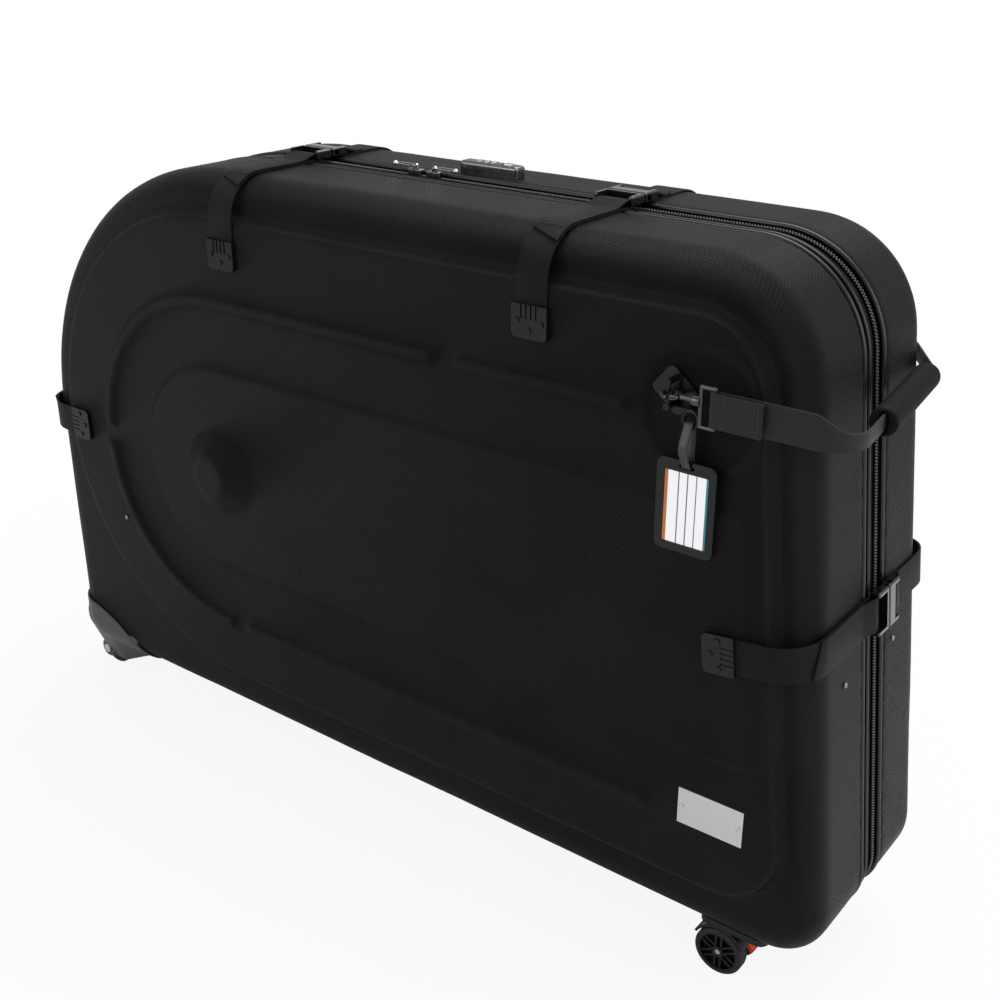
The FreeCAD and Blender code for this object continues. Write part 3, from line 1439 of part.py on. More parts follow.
def zip_slider(x):
    """A slider that rides on the teeth, with a low bail for its pull."""
    half = slider_length / 2
    body = box((x - half, -slider_width / 2, slider_low),
               (x + half, slider_width / 2, slider_low + slider_height))
    top = [e for e in body.Edges if e.CenterOfMass.z > slider_low + slider_height / 4]
    body = body.makeFillet(slider_height / 4, top)
    posts = []
    for side in (-1, 1):
        y = side * slider_post_y
        posts.append(rod(slider_bail_radius, (x, y, slider_low + slider_height / 2), (x, y, bail_z)))
    bar = rod(slider_bail_radius, (x, -slider_post_y, bail_z), (x, slider_post_y, bail_z))
    tips = [Part.makeSphere(slider_bail_radius, Vector(x, side * slider_post_y, bail_z))
            for side in (-1, 1)]
    return fuse([body, bar] + posts + tips)


def zip_pull(x, toward):
    """A flat metal loop with an eye round the slider's bail and a ball at its tip."""
    half_wire = pull_wire_radius * 3 / 4
    half = pull_width / 2
    eye = rod(pull_eye_radius, (x, -pull_wire_radius, bail_z), (x, pull_wire_radius, bail_z))
    near = x + pull_eye_radius - half_wire
    far = x + pull_length
    corners = [(near, -half, half), (far, -half, half), (far, half, half), (near, half, half)]
    rings = []
    for inset in (0, 2 * half_wire):
        edges = corner_edges(inset_corners(corners, inset),
                             lambda a, b: Vector(a, b, bail_z - half_wire), True)
        face = Part.Face(Part.Wire(Part.__sortEdges__(edges)))
        rings.append(face.extrude(Vector(0, 0, 2 * half_wire)))
    ball = Part.makeSphere(pull_ball_radius, Vector(far + pull_ball_radius / 2, 0, bail_z))
    pull = fuse([eye, rings[0].cut(rings[1]), ball])
    pull = pull.cut(rod(pull_bore, (x, -half, bail_z), (x, half, bail_z)))
    return pull if toward > 0 else pull.mirror(Vector(x, 0, 0), axis_x)


for name, x, toward in (("left", slider_places[0], -1), ("right", slider_places[1], 1)):
    nodes["zip_slider_" + name] = zip_slider(x)
    nodes["zip_pull_" + name] = zip_pull(x, toward)

# The origin goes on the floor under the middle of the case, and each piece to its own file
whole = FreeCAD.BoundBox()
for shape in nodes.values():
    whole.add(shape.optimalBoundingBox(False, False))
to_origin = Vector(-(whole.XMin + whole.XMax) / 2, -(whole.YMin + whole.YMax) / 2, -whole.ZMin)
os.makedirs("parts", exist_ok=True)
for name, shape in nodes.items():
    shape.translate(to_origin)
    shape.exportStep("parts/" + name + ".step")
print("nodes", len(nodes), "size", round(whole.XLength, 1), round(whole.YLength, 1), round(whole.ZLength, 1))
print("moved to the origin by", [round(value, 3) for value in to_origin])
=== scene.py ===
# Bike travel case: two moulded half shells, zipped and strapped together, on two wheels and two casters.
import json
import math
import bpy
from mathutils import Matrix, Vector

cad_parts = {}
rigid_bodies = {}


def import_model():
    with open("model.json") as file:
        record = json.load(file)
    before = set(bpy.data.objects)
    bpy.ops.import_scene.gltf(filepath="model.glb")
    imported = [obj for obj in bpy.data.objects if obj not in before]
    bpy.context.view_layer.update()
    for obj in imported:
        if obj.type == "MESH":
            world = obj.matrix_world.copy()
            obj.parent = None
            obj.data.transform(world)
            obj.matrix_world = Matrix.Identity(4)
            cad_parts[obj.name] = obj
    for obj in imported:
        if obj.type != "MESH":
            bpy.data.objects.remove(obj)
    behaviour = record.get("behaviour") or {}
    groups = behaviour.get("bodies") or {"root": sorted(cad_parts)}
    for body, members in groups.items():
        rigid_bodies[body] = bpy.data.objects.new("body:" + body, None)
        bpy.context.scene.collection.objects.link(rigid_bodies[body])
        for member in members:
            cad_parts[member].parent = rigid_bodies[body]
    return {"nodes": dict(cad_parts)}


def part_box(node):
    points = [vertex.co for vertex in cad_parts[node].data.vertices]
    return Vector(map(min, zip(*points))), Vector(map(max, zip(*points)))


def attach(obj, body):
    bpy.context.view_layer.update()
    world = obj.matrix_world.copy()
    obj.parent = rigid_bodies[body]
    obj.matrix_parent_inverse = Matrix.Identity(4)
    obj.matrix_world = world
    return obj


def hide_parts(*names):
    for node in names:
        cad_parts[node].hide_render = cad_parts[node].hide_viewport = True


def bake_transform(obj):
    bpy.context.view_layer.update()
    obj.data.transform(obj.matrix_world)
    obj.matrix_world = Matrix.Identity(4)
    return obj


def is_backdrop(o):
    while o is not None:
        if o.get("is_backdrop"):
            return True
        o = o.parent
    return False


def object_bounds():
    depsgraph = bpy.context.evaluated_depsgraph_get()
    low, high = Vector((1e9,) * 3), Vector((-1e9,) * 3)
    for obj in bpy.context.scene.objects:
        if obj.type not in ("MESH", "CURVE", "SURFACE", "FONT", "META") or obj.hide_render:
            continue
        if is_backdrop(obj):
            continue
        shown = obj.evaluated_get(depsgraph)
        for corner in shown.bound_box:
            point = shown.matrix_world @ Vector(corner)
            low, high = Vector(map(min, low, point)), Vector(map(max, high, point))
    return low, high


bpy.ops.object.select_all(action="SELECT")
bpy.ops.object.delete()
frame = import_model()
nodes = frame["nodes"]
cad_low, cad_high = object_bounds()
millimetre = 0.001


# Half shells: two moulded trays of laminated foam under twilled nylon, lined with a plain knit.
# The foam rounds off every edge of the moulded relief, so each tray is resampled and eased, and
# the cover puckers a little where it was stretched into the mould.
def new_piece(name, data):
    """A new piece with a mesh or a curve, the only one selected."""
    bpy.ops.object.select_all(action="DESELECT")
    piece = bpy.data.objects.new(name, data)
    bpy.context.scene.collection.objects.link(piece)
    piece.select_set(True)
    bpy.context.view_layer.objects.active = piece
    return piece


def bare_copy(name, node):
    """A new piece with a node's mesh, its loose triangles merged, ready to be worked on."""
    merge_distance = 0.02 * millimetre
    piece = new_piece(name, nodes[node].data.copy())
    piece.data.materials.clear()
    bpy.ops.object.mode_set(mode="EDIT")
    bpy.ops.mesh.select_all(action="SELECT")
    bpy.ops.mesh.customdata_custom_splitnormals_clear()
    bpy.ops.mesh.remove_doubles(threshold=merge_distance)
    bpy.ops.object.mode_set(mode="OBJECT")
    return piece


def apply_modifier(piece, kind, **settings):
    """Adds one modifier to the active piece, sets it and applies it."""
    modifier = piece.modifiers.new(kind.lower(), kind)
    for setting, value in settings.items():
        setattr(modifier, setting, value)
    bpy.ops.object.modifier_apply(modifier=modifier.name)


def eased_copy(name, node, voxel, rounds, kept_share):
    """A copy of a node, resampled at the voxel's size and smoothed, so that its edges are rounded."""
    piece = bare_copy(name, node)
    apply_modifier(piece, "REMESH", mode="VOXEL", voxel_size=voxel)
    apply_modifier(piece, "SMOOTH", factor=0.5, iterations=rounds)
    apply_modifier(piece, "DECIMATE", ratio=kept_share)
    bpy.ops.object.shade_smooth()
    return piece


def node_group(name, inputs, outputs):
    """An empty shader node group with its value inputs and outputs, and its two end nodes."""
    group = bpy.data.node_groups.new(name, "ShaderNodeTree")
    for label, value in inputs.items():
        socket = group.interface.new_socket(label, in_out="INPUT", socket_type="NodeSocketFloat")
        socket.default_value = value
    for label in outputs:
        group.interface.new_socket(label, in_out="OUTPUT", socket_type="NodeSocketFloat")
    return group, group.nodes.new("NodeGroupInput"), group.nodes.new("NodeGroupOutput")


def feed(tree, value, socket):
    """Gives a socket a plain number, or the value of another socket."""
    if isinstance(value, (int, float)):
        socket.default_value = value
    else:
        tree.links.new(value, socket)


def math_node(tree, operation, first, second=0.0):
    """A math node on sockets or numbers; its result socket is returned."""
    node = tree.nodes.new("ShaderNodeMath")
    node.operation = operation
    feed(tree, first, node.inputs[0])
    feed(tree, second, node.inputs[1])
    return node.outputs[0]


def own_place(tree):
    """The coordinates of the piece itself, as one socket."""
    return tree.nodes.new("ShaderNodeTexCoord").outputs["Object"]


def own_axes(tree):
    """The coordinates of the piece itself, as a socket for each axis."""
    axes = tree.nodes.new("ShaderNodeSeparateXYZ")
    tree.links.new(own_place(tree), axes.inputs[0])
    return axes.outputs


def noise_node(tree, place, scale, detail):
    """A noise texture on a place socket; its value socket is returned."""
    node = tree.nodes.new("ShaderNodeTexNoise")
    node.inputs["Detail"].default_value = detail
    feed(tree, scale, node.inputs["Scale"])
    tree.links.new(place, node.inputs["Vector"])
    return node.outputs["Fac"]


def ramp_node(tree, value, low, high, low_at=0.0, high_at=1.0):
    """A colour ramp between two colours or greys; its colour socket is returned."""
    node = tree.nodes.new("ShaderNodeValToRGB")
    for element, colour, place in zip(node.color_ramp.elements, (low, high), (low_at, high_at)):
        element.color = (*colour, 1.0) if isinstance(colour, tuple) else (colour,) * 3 + (1.0,)
        element.position = place
    tree.links.new(value, node.inputs["Fac"])
    return node.outputs["Color"]


def twill_group():
    """Diagonal ribs crossed by threads: their height, and how worn the cloth is from place to place."""
    rib_share, thread_share, middle_share = 0.36, 0.14, 0.5
    threads_per_rib = 0.5
    wear_scale, wear_detail = 9.0, 4.0
    group, start, end = node_group("twill", {"Pitch": 2.4 * millimetre}, ("Height", "Wear"))
    x, y, z = own_axes(group)
    turn = math_node(group, "DIVIDE", 2.0 * math.pi, start.outputs["Pitch"])
    slant = math_node(group, "ADD", math_node(group, "ADD", x, y), z)
    cross = math_node(group, "SUBTRACT", math_node(group, "ADD", x, y), z)
    rib = math_node(group, "SINE", math_node(group, "MULTIPLY", slant, turn))
    thread_turn = math_node(group, "MULTIPLY", turn, threads_per_rib)
    thread = math_node(group, "SINE", math_node(group, "MULTIPLY", cross, thread_turn))
    ribs = math_node(group, "MULTIPLY", rib, rib_share)
    threads = math_node(group, "MULTIPLY", thread, thread_share)
    weave = math_node(group, "ADD", ribs, threads)
    group.links.new(math_node(group, "ADD", weave, middle_share), end.inputs["Height"])
    wear = noise_node(group, own_place(group), wear_scale, wear_detail)
    group.links.new(wear, end.inputs["Wear"])
    return group


def new_material(name, **values):
    """A material whose shader has these plain values, as (material, node tree, shader)."""
    material = bpy.data.materials.new(name)
    material.use_nodes = True
    shader = material.node_tree.nodes["Principled BSDF"]
    for label, value in values.items():
        socket = shader.inputs[label.replace("_", " ")]
        socket.default_value = (*value, 1.0) if isinstance(value, tuple) else value
    return material, material.node_tree, shader


def place_group(tree, group, **values):
    """A node group placed in a material with its own values."""
    node = tree.nodes.new("ShaderNodeGroup")
    node.node_tree = group
    for label, value in values.items():
        node.inputs[label].default_value = value
    return node


def bump(tree, shader, height, strength, distance):
    """The shader's normal is raised by a height."""
    node = tree.nodes.new("ShaderNodeBump")
    node.inputs["Strength"].default_value = strength
    node.inputs["Distance"].default_value = distance
    tree.links.new(height, node.inputs["Height"])
    tree.links.new(node.outputs["Normal"], shader.inputs["Normal"])


twill = twill_group()


def cloth_material(name, pitch, low, high, roughness, depth):
    """A twilled cloth between two colours, paler and rougher where it is worn."""
    roughness_spread = 0.08
    material, tree, shader = new_material(
        name, Sheen_Weight=0.012, Sheen_Roughness=0.45, Specular_IOR_Level=0.1)
    weave = place_group(tree, twill, Pitch=pitch)
    wear = weave.outputs["Wear"]
    shade = math_node(tree, "MULTIPLY", weave.outputs["Height"], wear)
    colour = ramp_node(tree, shade, low, high, low_at=0.1, high_at=0.5)
    tree.links.new(colour, shader.inputs["Base Color"])
    worn = ramp_node(tree, wear, roughness - roughness_spread, roughness + roughness_spread)
    tree.links.new(worn, shader.inputs["Roughness"])
    bump(tree, shader, weave.outputs["Height"], strength=0.6, distance=depth)
    return material


nylon = cloth_material(
    "twilled_nylon", pitch=3.4 * millimetre, low=(0.001, 0.0011, 0.0013), high=(0.0095, 0.0098, 0.011),
    roughness=0.44, depth=1.6 * millimetre)
lining = cloth_material(
    "knit_lining", pitch=1.4 * millimetre, low=0.006, high=0.014, roughness=0.85, depth=0.2 * millimetre)


def half_shell(node, name, body):
    """A tray's eased form, its nylon outside and its lining inside."""
    shell = eased_copy(name, node, voxel=3.4 * millimetre, rounds=7, kept_share=0.36)
    puckers = bpy.data.textures.new("puckers", "CLOUDS")
    puckers.noise_scale = 160.0 * millimetre
    puckers.noise_depth = 2
    apply_modifier(shell, "DISPLACE", texture=puckers, strength=1.4 * millimetre, mid_level=0.5)
    shell.data.materials.append(nylon)
    shell.data.materials.append(lining)
    low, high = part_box(node)
    middle = (low + high) / 2.0
    wall = 14.0 * millimetre
    floor_facing_share = 0.5
    for face in shell.data.polygons:
        away = face.center - middle
        in_between = low.y + 2.0 * wall < face.center.y < high.y - 2.0 * wall
        on_floor = away.y * face.normal.y < 0.0 and abs(face.normal.y) > floor_facing_share
        face.material_index = int((in_between or on_floor) and away.dot(face.normal) < 0.0)
    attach(shell, body)
    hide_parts(node)


half_shell("front_shell", "front_cover", "front_half")
half_shell("rear_shell", "rear_cover", "rear_half")


# Zip: a woven tape sewn inside each mouth, with a row of moulded teeth along its edge that meets the
# other row in the middle of the band. Round vinyl welts edge the mouths. Their ways round the case are
# drawn flat, in millimetres, and then laid in their places.
drawing_shift = Vector((12.936, 15.0, 0.0))
along_case = (1.0, 0.0, 0.0)
up_case = (0.0, 0.0, 1.0)
left_end = -597.0
right_end = 616.0
floor_gap = 77.0
top_z = 819.0
end_lean = math.radians(6.2)
hinge_inset = 75.0
round_end_radius = 371.0
top_right_radius = 120.0
bottom_right_radius = 60.0
bottom_left_radius = 45.0
sharp_angle = math.radians(40.0)


def end_x(z):
    """The right end of the case at a height."""
    return right_end - (z - floor_gap) * math.tan(end_lean)


def mouth_route(inset):
    """Corners with radii of the zip's way round the case, drawn in from the outside."""
    low = floor_gap + inset
    high = top_z - inset
    side = inset / math.cos(end_lean)
    return [
        (right_end - hinge_inset, low, 0.0),
        (end_x(low) - side, low, bottom_right_radius - inset),
        (end_x(high) - side, high, top_right_radius - inset),
        (left_end + inset, high, round_end_radius - inset),
        (left_end + inset, low, bottom_left_radius - inset),
        (left_end + hinge_inset, low, 0.0),
    ]


def rounded(corners, step=6.0, closed=False):
    """Points along straight runs and the arcs that join them, through corners given with their radii."""
    least_steps, least_gap = 4, 0.01
    runs = []
    count = len(corners)
    for index, (across, up, radius) in enumerate(corners):
        here = Vector((across, up))
        if radius == 0.0:
            runs.append([here])
            continue
        before = (Vector(corners[index - 1][:2]) - here).normalized()
        after = (Vector(corners[(index + 1) % count][:2]) - here).normalized()
        half = before.angle(after) / 2.0
        centre = here + (before + after).normalized() * (radius / math.sin(half))
        spoke = here + before * (radius / math.tan(half)) - centre
        turn = math.copysign(math.pi - 2.0 * half, before.y * after.x - before.x * after.y)
        steps = max(least_steps, round(abs(turn) * radius / step))
        runs.append([centre + Matrix.Rotation(turn * n / steps, 2) @ spoke for n in range(steps + 1)])
    if closed:
        runs.append([runs[0][0]])
    points = list(runs[0])
    for run in runs[1:]:
        start = points[-1]
        gap = (run[0] - start).length
        pieces = max(1, round(gap / step))
        points += [start.lerp(run[0], n / pieces) for n in range(1, pieces)]
        points += run if gap > least_gap else run[1:]
    return points[:-1] if closed else points


def flat_curve(name, points, closed=False):
    """A curve in a flat drawing of its own."""
    curve = bpy.data.curves.new(name, "CURVE")
    spline = curve.splines.new("POLY")
    spline.points.add(len(points) - 1)
    for point, place in zip(spline.points, points):
        point.co = (place.x * millimetre, place.y * millimetre, 0.0, 1.0)
    spline.use_cyclic_u = closed
    return new_piece(name, curve)


def laid(piece, across, up, origin):
    """Turns a flat drawing so that its axes lie along two directions of the case, from an origin."""
    across, up = Vector(across), Vector(up)
    turn = Matrix((across, up, across.cross(up))).transposed().to_4x4()
    place = (Vector(origin) + drawing_shift) * millimetre
    piece.data.transform(Matrix.Translation(place) @ turn)
    return piece


def tidy_faces():
    """The active piece's faces point outwards, and are smooth up to its sharp edges."""
    merge_distance = 0.01 * millimetre
    bpy.ops.object.mode_set(mode="EDIT")
    bpy.ops.mesh.select_all(action="SELECT")
    bpy.ops.mesh.remove_doubles(threshold=merge_distance)
    bpy.ops.mesh.normals_make_consistent(inside=False)
    bpy.ops.object.mode_set(mode="OBJECT")
    bpy.ops.object.shade_smooth_by_angle(angle=sharp_angle)


def band(name, points, width, thickness, closed=False, shape=None):
    """Webbing or tape along a drawing's points: a ribbon that gets its thickness and soft edges."""
    edge_share = 0.3
    piece = flat_curve(name, points, closed)
    piece.data.dimensions = "2D"
    piece.data.fill_mode = "NONE"
    piece.data.extrude = width / 2.0 * millimetre
    bpy.ops.object.convert(target="MESH")
    piece = bpy.context.view_layer.objects.active
    if shape:
        for vertex in piece.data.vertices:
            vertex.co = shape(vertex.co / millimetre) * millimetre
    apply_modifier(piece, "SOLIDIFY", thickness=thickness * millimetre, offset=0.0, use_even_offset=True)
    edge = edge_share * thickness * millimetre
    apply_modifier(piece, "BEVEL", width=edge, segments=2, limit_method="ANGLE")
    tidy_faces()
    return piece


def round_welt(name, points, radius):
    """A round welt along a drawing's points."""
    piece = flat_curve(name, points)
    piece.data.dimensions = "3D"
    piece.data.bevel_depth = radius * millimetre
    piece.data.bevel_resolution = 3
    piece.data.use_fill_caps = True
    bpy.ops.object.convert(target="MESH")
    tidy_faces()
    return bpy.context.view_layer.objects.active


def joined(name, pieces):
    """Several new pieces as one."""
    bpy.ops.object.select_all(action="DESELECT")
    for piece in pieces:
        piece.select_set(True)
    bpy.context.view_layer.objects.active = pieces[0]
    if len(pieces) > 1:
        bpy.ops.object.join()
    pieces[0].name = name
    return pieces[0]


def small_block(length, height, width, edge):
    """A little block with bevelled edges, in millimetres, to be copied many times."""
    bpy.ops.object.select_all(action="DESELECT")
    bpy.ops.mesh.primitive_cube_add(size=1.0)
    block = bpy.context.view_layer.objects.active
    block.data.transform(Matrix.Diagonal((length, height, width, 1.0)))
    apply_modifier(block, "BEVEL", width=edge, segments=1)
    return block


def strewn(name, model, places):
    """One small model copied to many places of a flat drawing, as one piece."""
    corners = [vertex.co.copy() for vertex in model.data.vertices]
    sides = [tuple(face.vertices) for face in model.data.polygons]
    bpy.data.objects.remove(model)
    spots = [(place @ corner) * millimetre for place in places for corner in corners]
    starts = [len(corners) * number for number in range(len(places))]
    faces = [tuple(start + index for index in side) for start in starts for side in sides]
    mesh = bpy.data.meshes.new(name)
    mesh.from_pydata(spots, [], faces)
    piece = new_piece(name, mesh)
    bpy.ops.object.shade_smooth_by_angle(angle=sharp_angle)
    return piece


def spot_on(point, along, depth=0.0, lift=0.0):
    """The place of a small copy in a flat drawing: turned along a direction, in depth and off the line."""
    out = Vector((along.y, -along.x))
    return Matrix((
        (along.x, out.x, 0.0, point.x + out.x * lift),
        (along.y, out.y, 0.0, point.y + out.y * lift),
        (0.0, 0.0, 1.0, depth),
        (0.0, 0.0, 0.0, 1.0),
    ))


def tooth_places(inset, start_share):
    """Even places along the mouth for the teeth of one row."""
    pitch = 3.4
    line = rounded(mouth_route(inset), step=2.0)
    places = []
    travelled = pitch * start_share
    for here, there in zip(line, line[1:]):
        along = (there - here).normalized()
        travelled += (there - here).length
        while travelled >= pitch:
            travelled -= pitch
            places.append(spot_on(there - along * travelled, along))
    return places


def finish(piece, material, slot, body, *replaced):
    """A new piece gets its finish, rides on its body and stands for its nodes."""
    piece.data.materials.clear()
    piece.data.materials.append(material)
    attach(piece, body)
    if replaced:
        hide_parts(*replaced)


def grain_group():
    """A fine speckle, for what is moulded, plated or coated."""
    speckle_detail = 3.0
    group, start, end = node_group("grain", {"Fineness": 500.0}, ("Speckle",))
    speckle = noise_node(group, own_place(group), start.outputs["Fineness"], speckle_detail)
    group.links.new(speckle, end.inputs["Speckle"])
    return group


grain = grain_group()


def grained(name, colour, roughness, spread, fineness, depth, **values):
    """A moulded, plated or coated finish: its colour, roughness and height follow a fine grain."""
    roughness_spread = 0.2
    low_at, high_at = 0.3, 0.7
    material, tree, shader = new_material(name, **values)
    speckle = place_group(tree, grain, Fineness=fineness).outputs["Speckle"]
    low = tuple(channel * (1.0 - spread) for channel in colour)
    high = tuple(channel * (1.0 + spread) for channel in colour)
    shade = ramp_node(tree, speckle, low, high, low_at, high_at)
    tree.links.new(shade, shader.inputs["Base Color"])
    smooth = roughness * (1.0 - roughness_spread)
    rough = roughness * (1.0 + roughness_spread)
    tree.links.new(ramp_node(tree, speckle, smooth, rough, low_at, high_at), shader.inputs["Roughness"])
    bump(tree, shader, speckle, strength=0.25, distance=depth)
    return material


zip_tape = cloth_material(
    "zip_tape", pitch=1.3 * millimetre, low=0.002, high=0.006, roughness=0.75, depth=0.2 * millimetre)
tooth_plastic = grained(
    "zip_teeth", (0.06, 0.06, 0.062), roughness=0.26, spread=0.15, fineness=900.0, depth=0.02 * millimetre)
welt_vinyl = grained(
    "welt_vinyl", (0.004, 0.004, 0.005), roughness=0.34, spread=0.2, fineness=300.0, depth=0.05 * millimetre)
tape_inset = 6.6
tape_thickness = 1.2
teeth_inset = 3.9
teeth_offset = 1.5
edge_welt_inset = 2.4
tape_welt_inset = 3.8
# Each half's two edges of tape in depth, where its first tooth starts, and its welts: depth, inset, radius.
zip_sides = (
    ("front", -2.9, -46.0, 0.0, ((-34.0, edge_welt_inset, 3.0), (-19.0, tape_welt_inset, 2.5))),
    ("rear", 2.9, 24.0, 0.5, ((12.0, edge_welt_inset, 3.0),)),
)
for side, near, far, start_share, welts in zip_sides:
    tape = band(side + "_zip_tape", rounded(mouth_route(tape_inset)), abs(far - near), tape_thickness)
    laid(tape, along_case, up_case, (0.0, (near + far) / 2.0, 0.0))
    finish(tape, zip_tape, "zip_tape", side + "_half", side + "_zip_half")
    tooth = small_block(length=1.9, height=2.2, width=2.7, edge=0.55)
    row = strewn(side + "_zip_teeth", tooth, tooth_places(teeth_inset, start_share))
    laid(row, along_case, up_case, (0.0, math.copysign(teeth_offset, near), 0.0))
    finish(row, tooth_plastic, "zip_tape", side + "_half")
    welt_runs = []
    for depth, inset, radius in welts:
        welt = round_welt(side + "_welt", rounded(mouth_route(inset)), radius)
        welt_runs.append(laid(welt, along_case, up_case, (0.0, depth, 0.0)))
    finish(joined(side + "_welts", welt_runs), welt_vinyl, "piping", side + "_half", side + "_piping")


# Fabric hinge: a strip of heavy webbing along the bottom, sewn under both mouths, where the case opens.
# Here it is drawn flat, as a plain strip.
hinge_low, hinge_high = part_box("hinge_strip")
hinge_size = hinge_high - hinge_low
bpy.ops.object.select_all(action="DESELECT")
bpy.ops.mesh.primitive_grid_add(x_subdivisions=60, y_subdivisions=16, size=1.0)
hinge_cloth = bpy.context.view_layer.objects.active
hinge_cloth.name = "hinge_cloth"
hinge_cloth.data.transform(Matrix.Translation((hinge_low + hinge_high) / 2.0)
                           @ Matrix.Diagonal((hinge_size.x, hinge_size.y, 1.0, 1.0)))
apply_modifier(hinge_cloth, "SOLIDIFY", thickness=1.4 * millimetre, offset=0.0)
apply_modifier(hinge_cloth, "BEVEL", width=0.4 * millimetre, segments=2, limit_method="ANGLE")
tidy_faces()
hinge_cloth.data.materials.append(zip_tape)
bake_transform(hinge_cloth)
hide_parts("hinge_strip")


# Straps: ribbed polyester webbing, held at one end by a riveted plate. On each half it runs up the
# face, over the edge and round a bar of the buckle, and its tail lies back on itself, sewn down.
webbing_cloth = cloth_material(
    "strap_webbing", pitch=2.6 * millimetre, low=0.002, high=0.016, roughness=0.5, depth=1.0 * millimetre)
thread = grained(
    "stitch_thread", (0.025, 0.025, 0.026), roughness=0.7, spread=0.2, fineness=2000.0,
    depth=0.05 * millimetre)
hub_z = 448.0
stand = 1.15
loop_radius = 3.65
strap_width = 38.0
strap_thickness = 2.0
strap_drop = 104.0
tail_slant = 14.0
slant_reach = 45.0
seam_rows = (14.0, 18.0)
stitch_pitch = 4.0
stitch_lift = -1.0
stitches_aside = 4
# Each strap's place on the case's edge, its turn, the radius of the shell there, and how far the face bulges.
strap_seats = [
    (Vector((-193.0, 0.0, top_z)), 0.0, 49.0, 0.0),
    (Vector((253.0, 0.0, top_z)), 0.0, 49.0, 0.0),
    (Vector((end_x(hub_z), 0.0, hub_z)), math.radians(90.0) - end_lean, 39.8, 5.0),
    (Vector((left_end, 0.0, hub_z)), math.radians(-90.0), 51.0, 0.0),
]
# Each half's way in depth, the depths of its face and of the buckle's bar, and its tail's length.
strap_sides = (
    ("front", -1.0, 166.0, 22.35, 122.0),
    ("rear", 1.0, 136.0, 21.35, 30.0),
)


def outwards(turn):
    """The direction out of the case at a strap's seat."""
    return Vector((math.sin(turn), 0.0, math.cos(turn)))


def strap_route(face, edge_room, bar, tail):
    """The webbing's way in depth and height over its seat; the tail is cut at its length from the bar."""
    hump_start, hump_end, hump_radius = 6.0, 24.0, 12.0
    tail_gap = 1.0
    loop = bar - loop_radius
    top = stand + 2.0 * loop_radius
    rest = 2.0 * stand + tail_gap
    whole_way = rounded([
        (face + stand, -strap_drop, 0.0),
        (face + stand, stand, edge_room + stand),
        (loop, stand, loop_radius),
        (loop, top, loop_radius),
        (bar + hump_start, top, hump_radius),
        (bar + hump_end, rest, hump_radius),
        (face + rest, rest, edge_room + rest),
        (face + rest, -strap_drop, 0.0),
    ], step=5.0)
    loop_at = min(range(len(whole_way)), key=lambda index: whole_way[index].x)
    end = next(index for index in range(loop_at, len(whole_way)) if whole_way[index].x > bar + tail)
    return whole_way[:end + 1]


def tail_cut(line, way):
    """Slants the tail's end across the width, easing off along the tail."""
    loop_at = min(range(len(line)), key=lambda index: line[index].x)

    def shape(corner):
        flat = Vector((corner.x, corner.y))
        nearest = min(range(len(line)), key=lambda index: (line[index] - flat).length)
        if nearest <= loop_at:
            return corner
        tail_share = max(0.0, 1.0 - (line[-1] - line[nearest]).length / slant_reach)
        ahead = (line[nearest] - line[nearest - 1]).normalized()
        lead = ahead * (corner.z / strap_width * tail_slant * way * tail_share)
        return corner + Vector((lead.x, lead.y, 0.0))
    return shape


def stitch_spots(ends, along, pitch, lift):
    """Rows of stitches across a webbing, one row at each of the points."""
    steps = range(-stitches_aside, stitches_aside + 1)
    return [spot_on(end, along, step * pitch, lift) for end in ends for step in steps]


for side, way, face, bar, tail in strap_sides:
    runs = []
    seams = []
    for origin, turn, edge_room, bulge in strap_seats:
        line = strap_route(face + bulge, edge_room, bar, tail)
        strap = band(side + "_strap", line, strap_width, strap_thickness, shape=tail_cut(line, way))
        runs.append(laid(strap, (0.0, way, 0.0), outwards(turn), origin))
        last = (line[-1] - line[-2]).normalized()
        places = stitch_spots([line[-1] - last * row for row in seam_rows], last, stitch_pitch, stitch_lift)
        stitch = small_block(length=0.9, height=0.6, width=2.8, edge=0.2)
        seams.append(laid(strewn(side + "_seam", stitch, places), (0.0, way, 0.0), outwards(turn), origin))
    finish(joined(side + "_webbing", runs), webbing_cloth, "webbing", side + "_half", side + "_straps")
    finish(joined(side + "_strap_seams", seams), thread, "webbing", side + "_half")


# Inner straps: two flat webbings on the floor of each half, which hold the frame and the wheels.
# They are of the same cloth as the outer straps, and are sewn down at their ends.
into_case = (0.0, 1.0, 0.0)
hub_x = -226.0
inner_strap_offsets = (106.0, 456.0)
for side in ("front", "rear"):
    low, high = (corner / millimetre - drawing_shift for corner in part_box(side + "_inner_straps"))
    depth = (low.y + high.y) / 2.0
    line = rounded([(depth, low.z, 0.0), (depth, high.z, 0.0)], step=12.0)
    runs = []
    for offset in inner_strap_offsets:
        strap = band(side + "_inner", line, strap_width, strap_thickness)
        runs.append(laid(strap, into_case, up_case, (hub_x + offset, 0.0, 0.0)))
    webbing = joined(side + "_inner_webbing", runs)
    finish(webbing, webbing_cloth, "webbing", side + "_half", side + "_inner_straps")


# Strap plates and rivets: moulded black plates with domed black rivets; the nameplate's two rivets are
# bright steel and the single ones of the ends and the face are plated dark. The plates keep their form.
def dress(material, *names):
    """Nodes that keep their shape get a finish."""
    for name in names:
        nodes[name].data.materials.clear()
        nodes[name].data.materials.append(material)


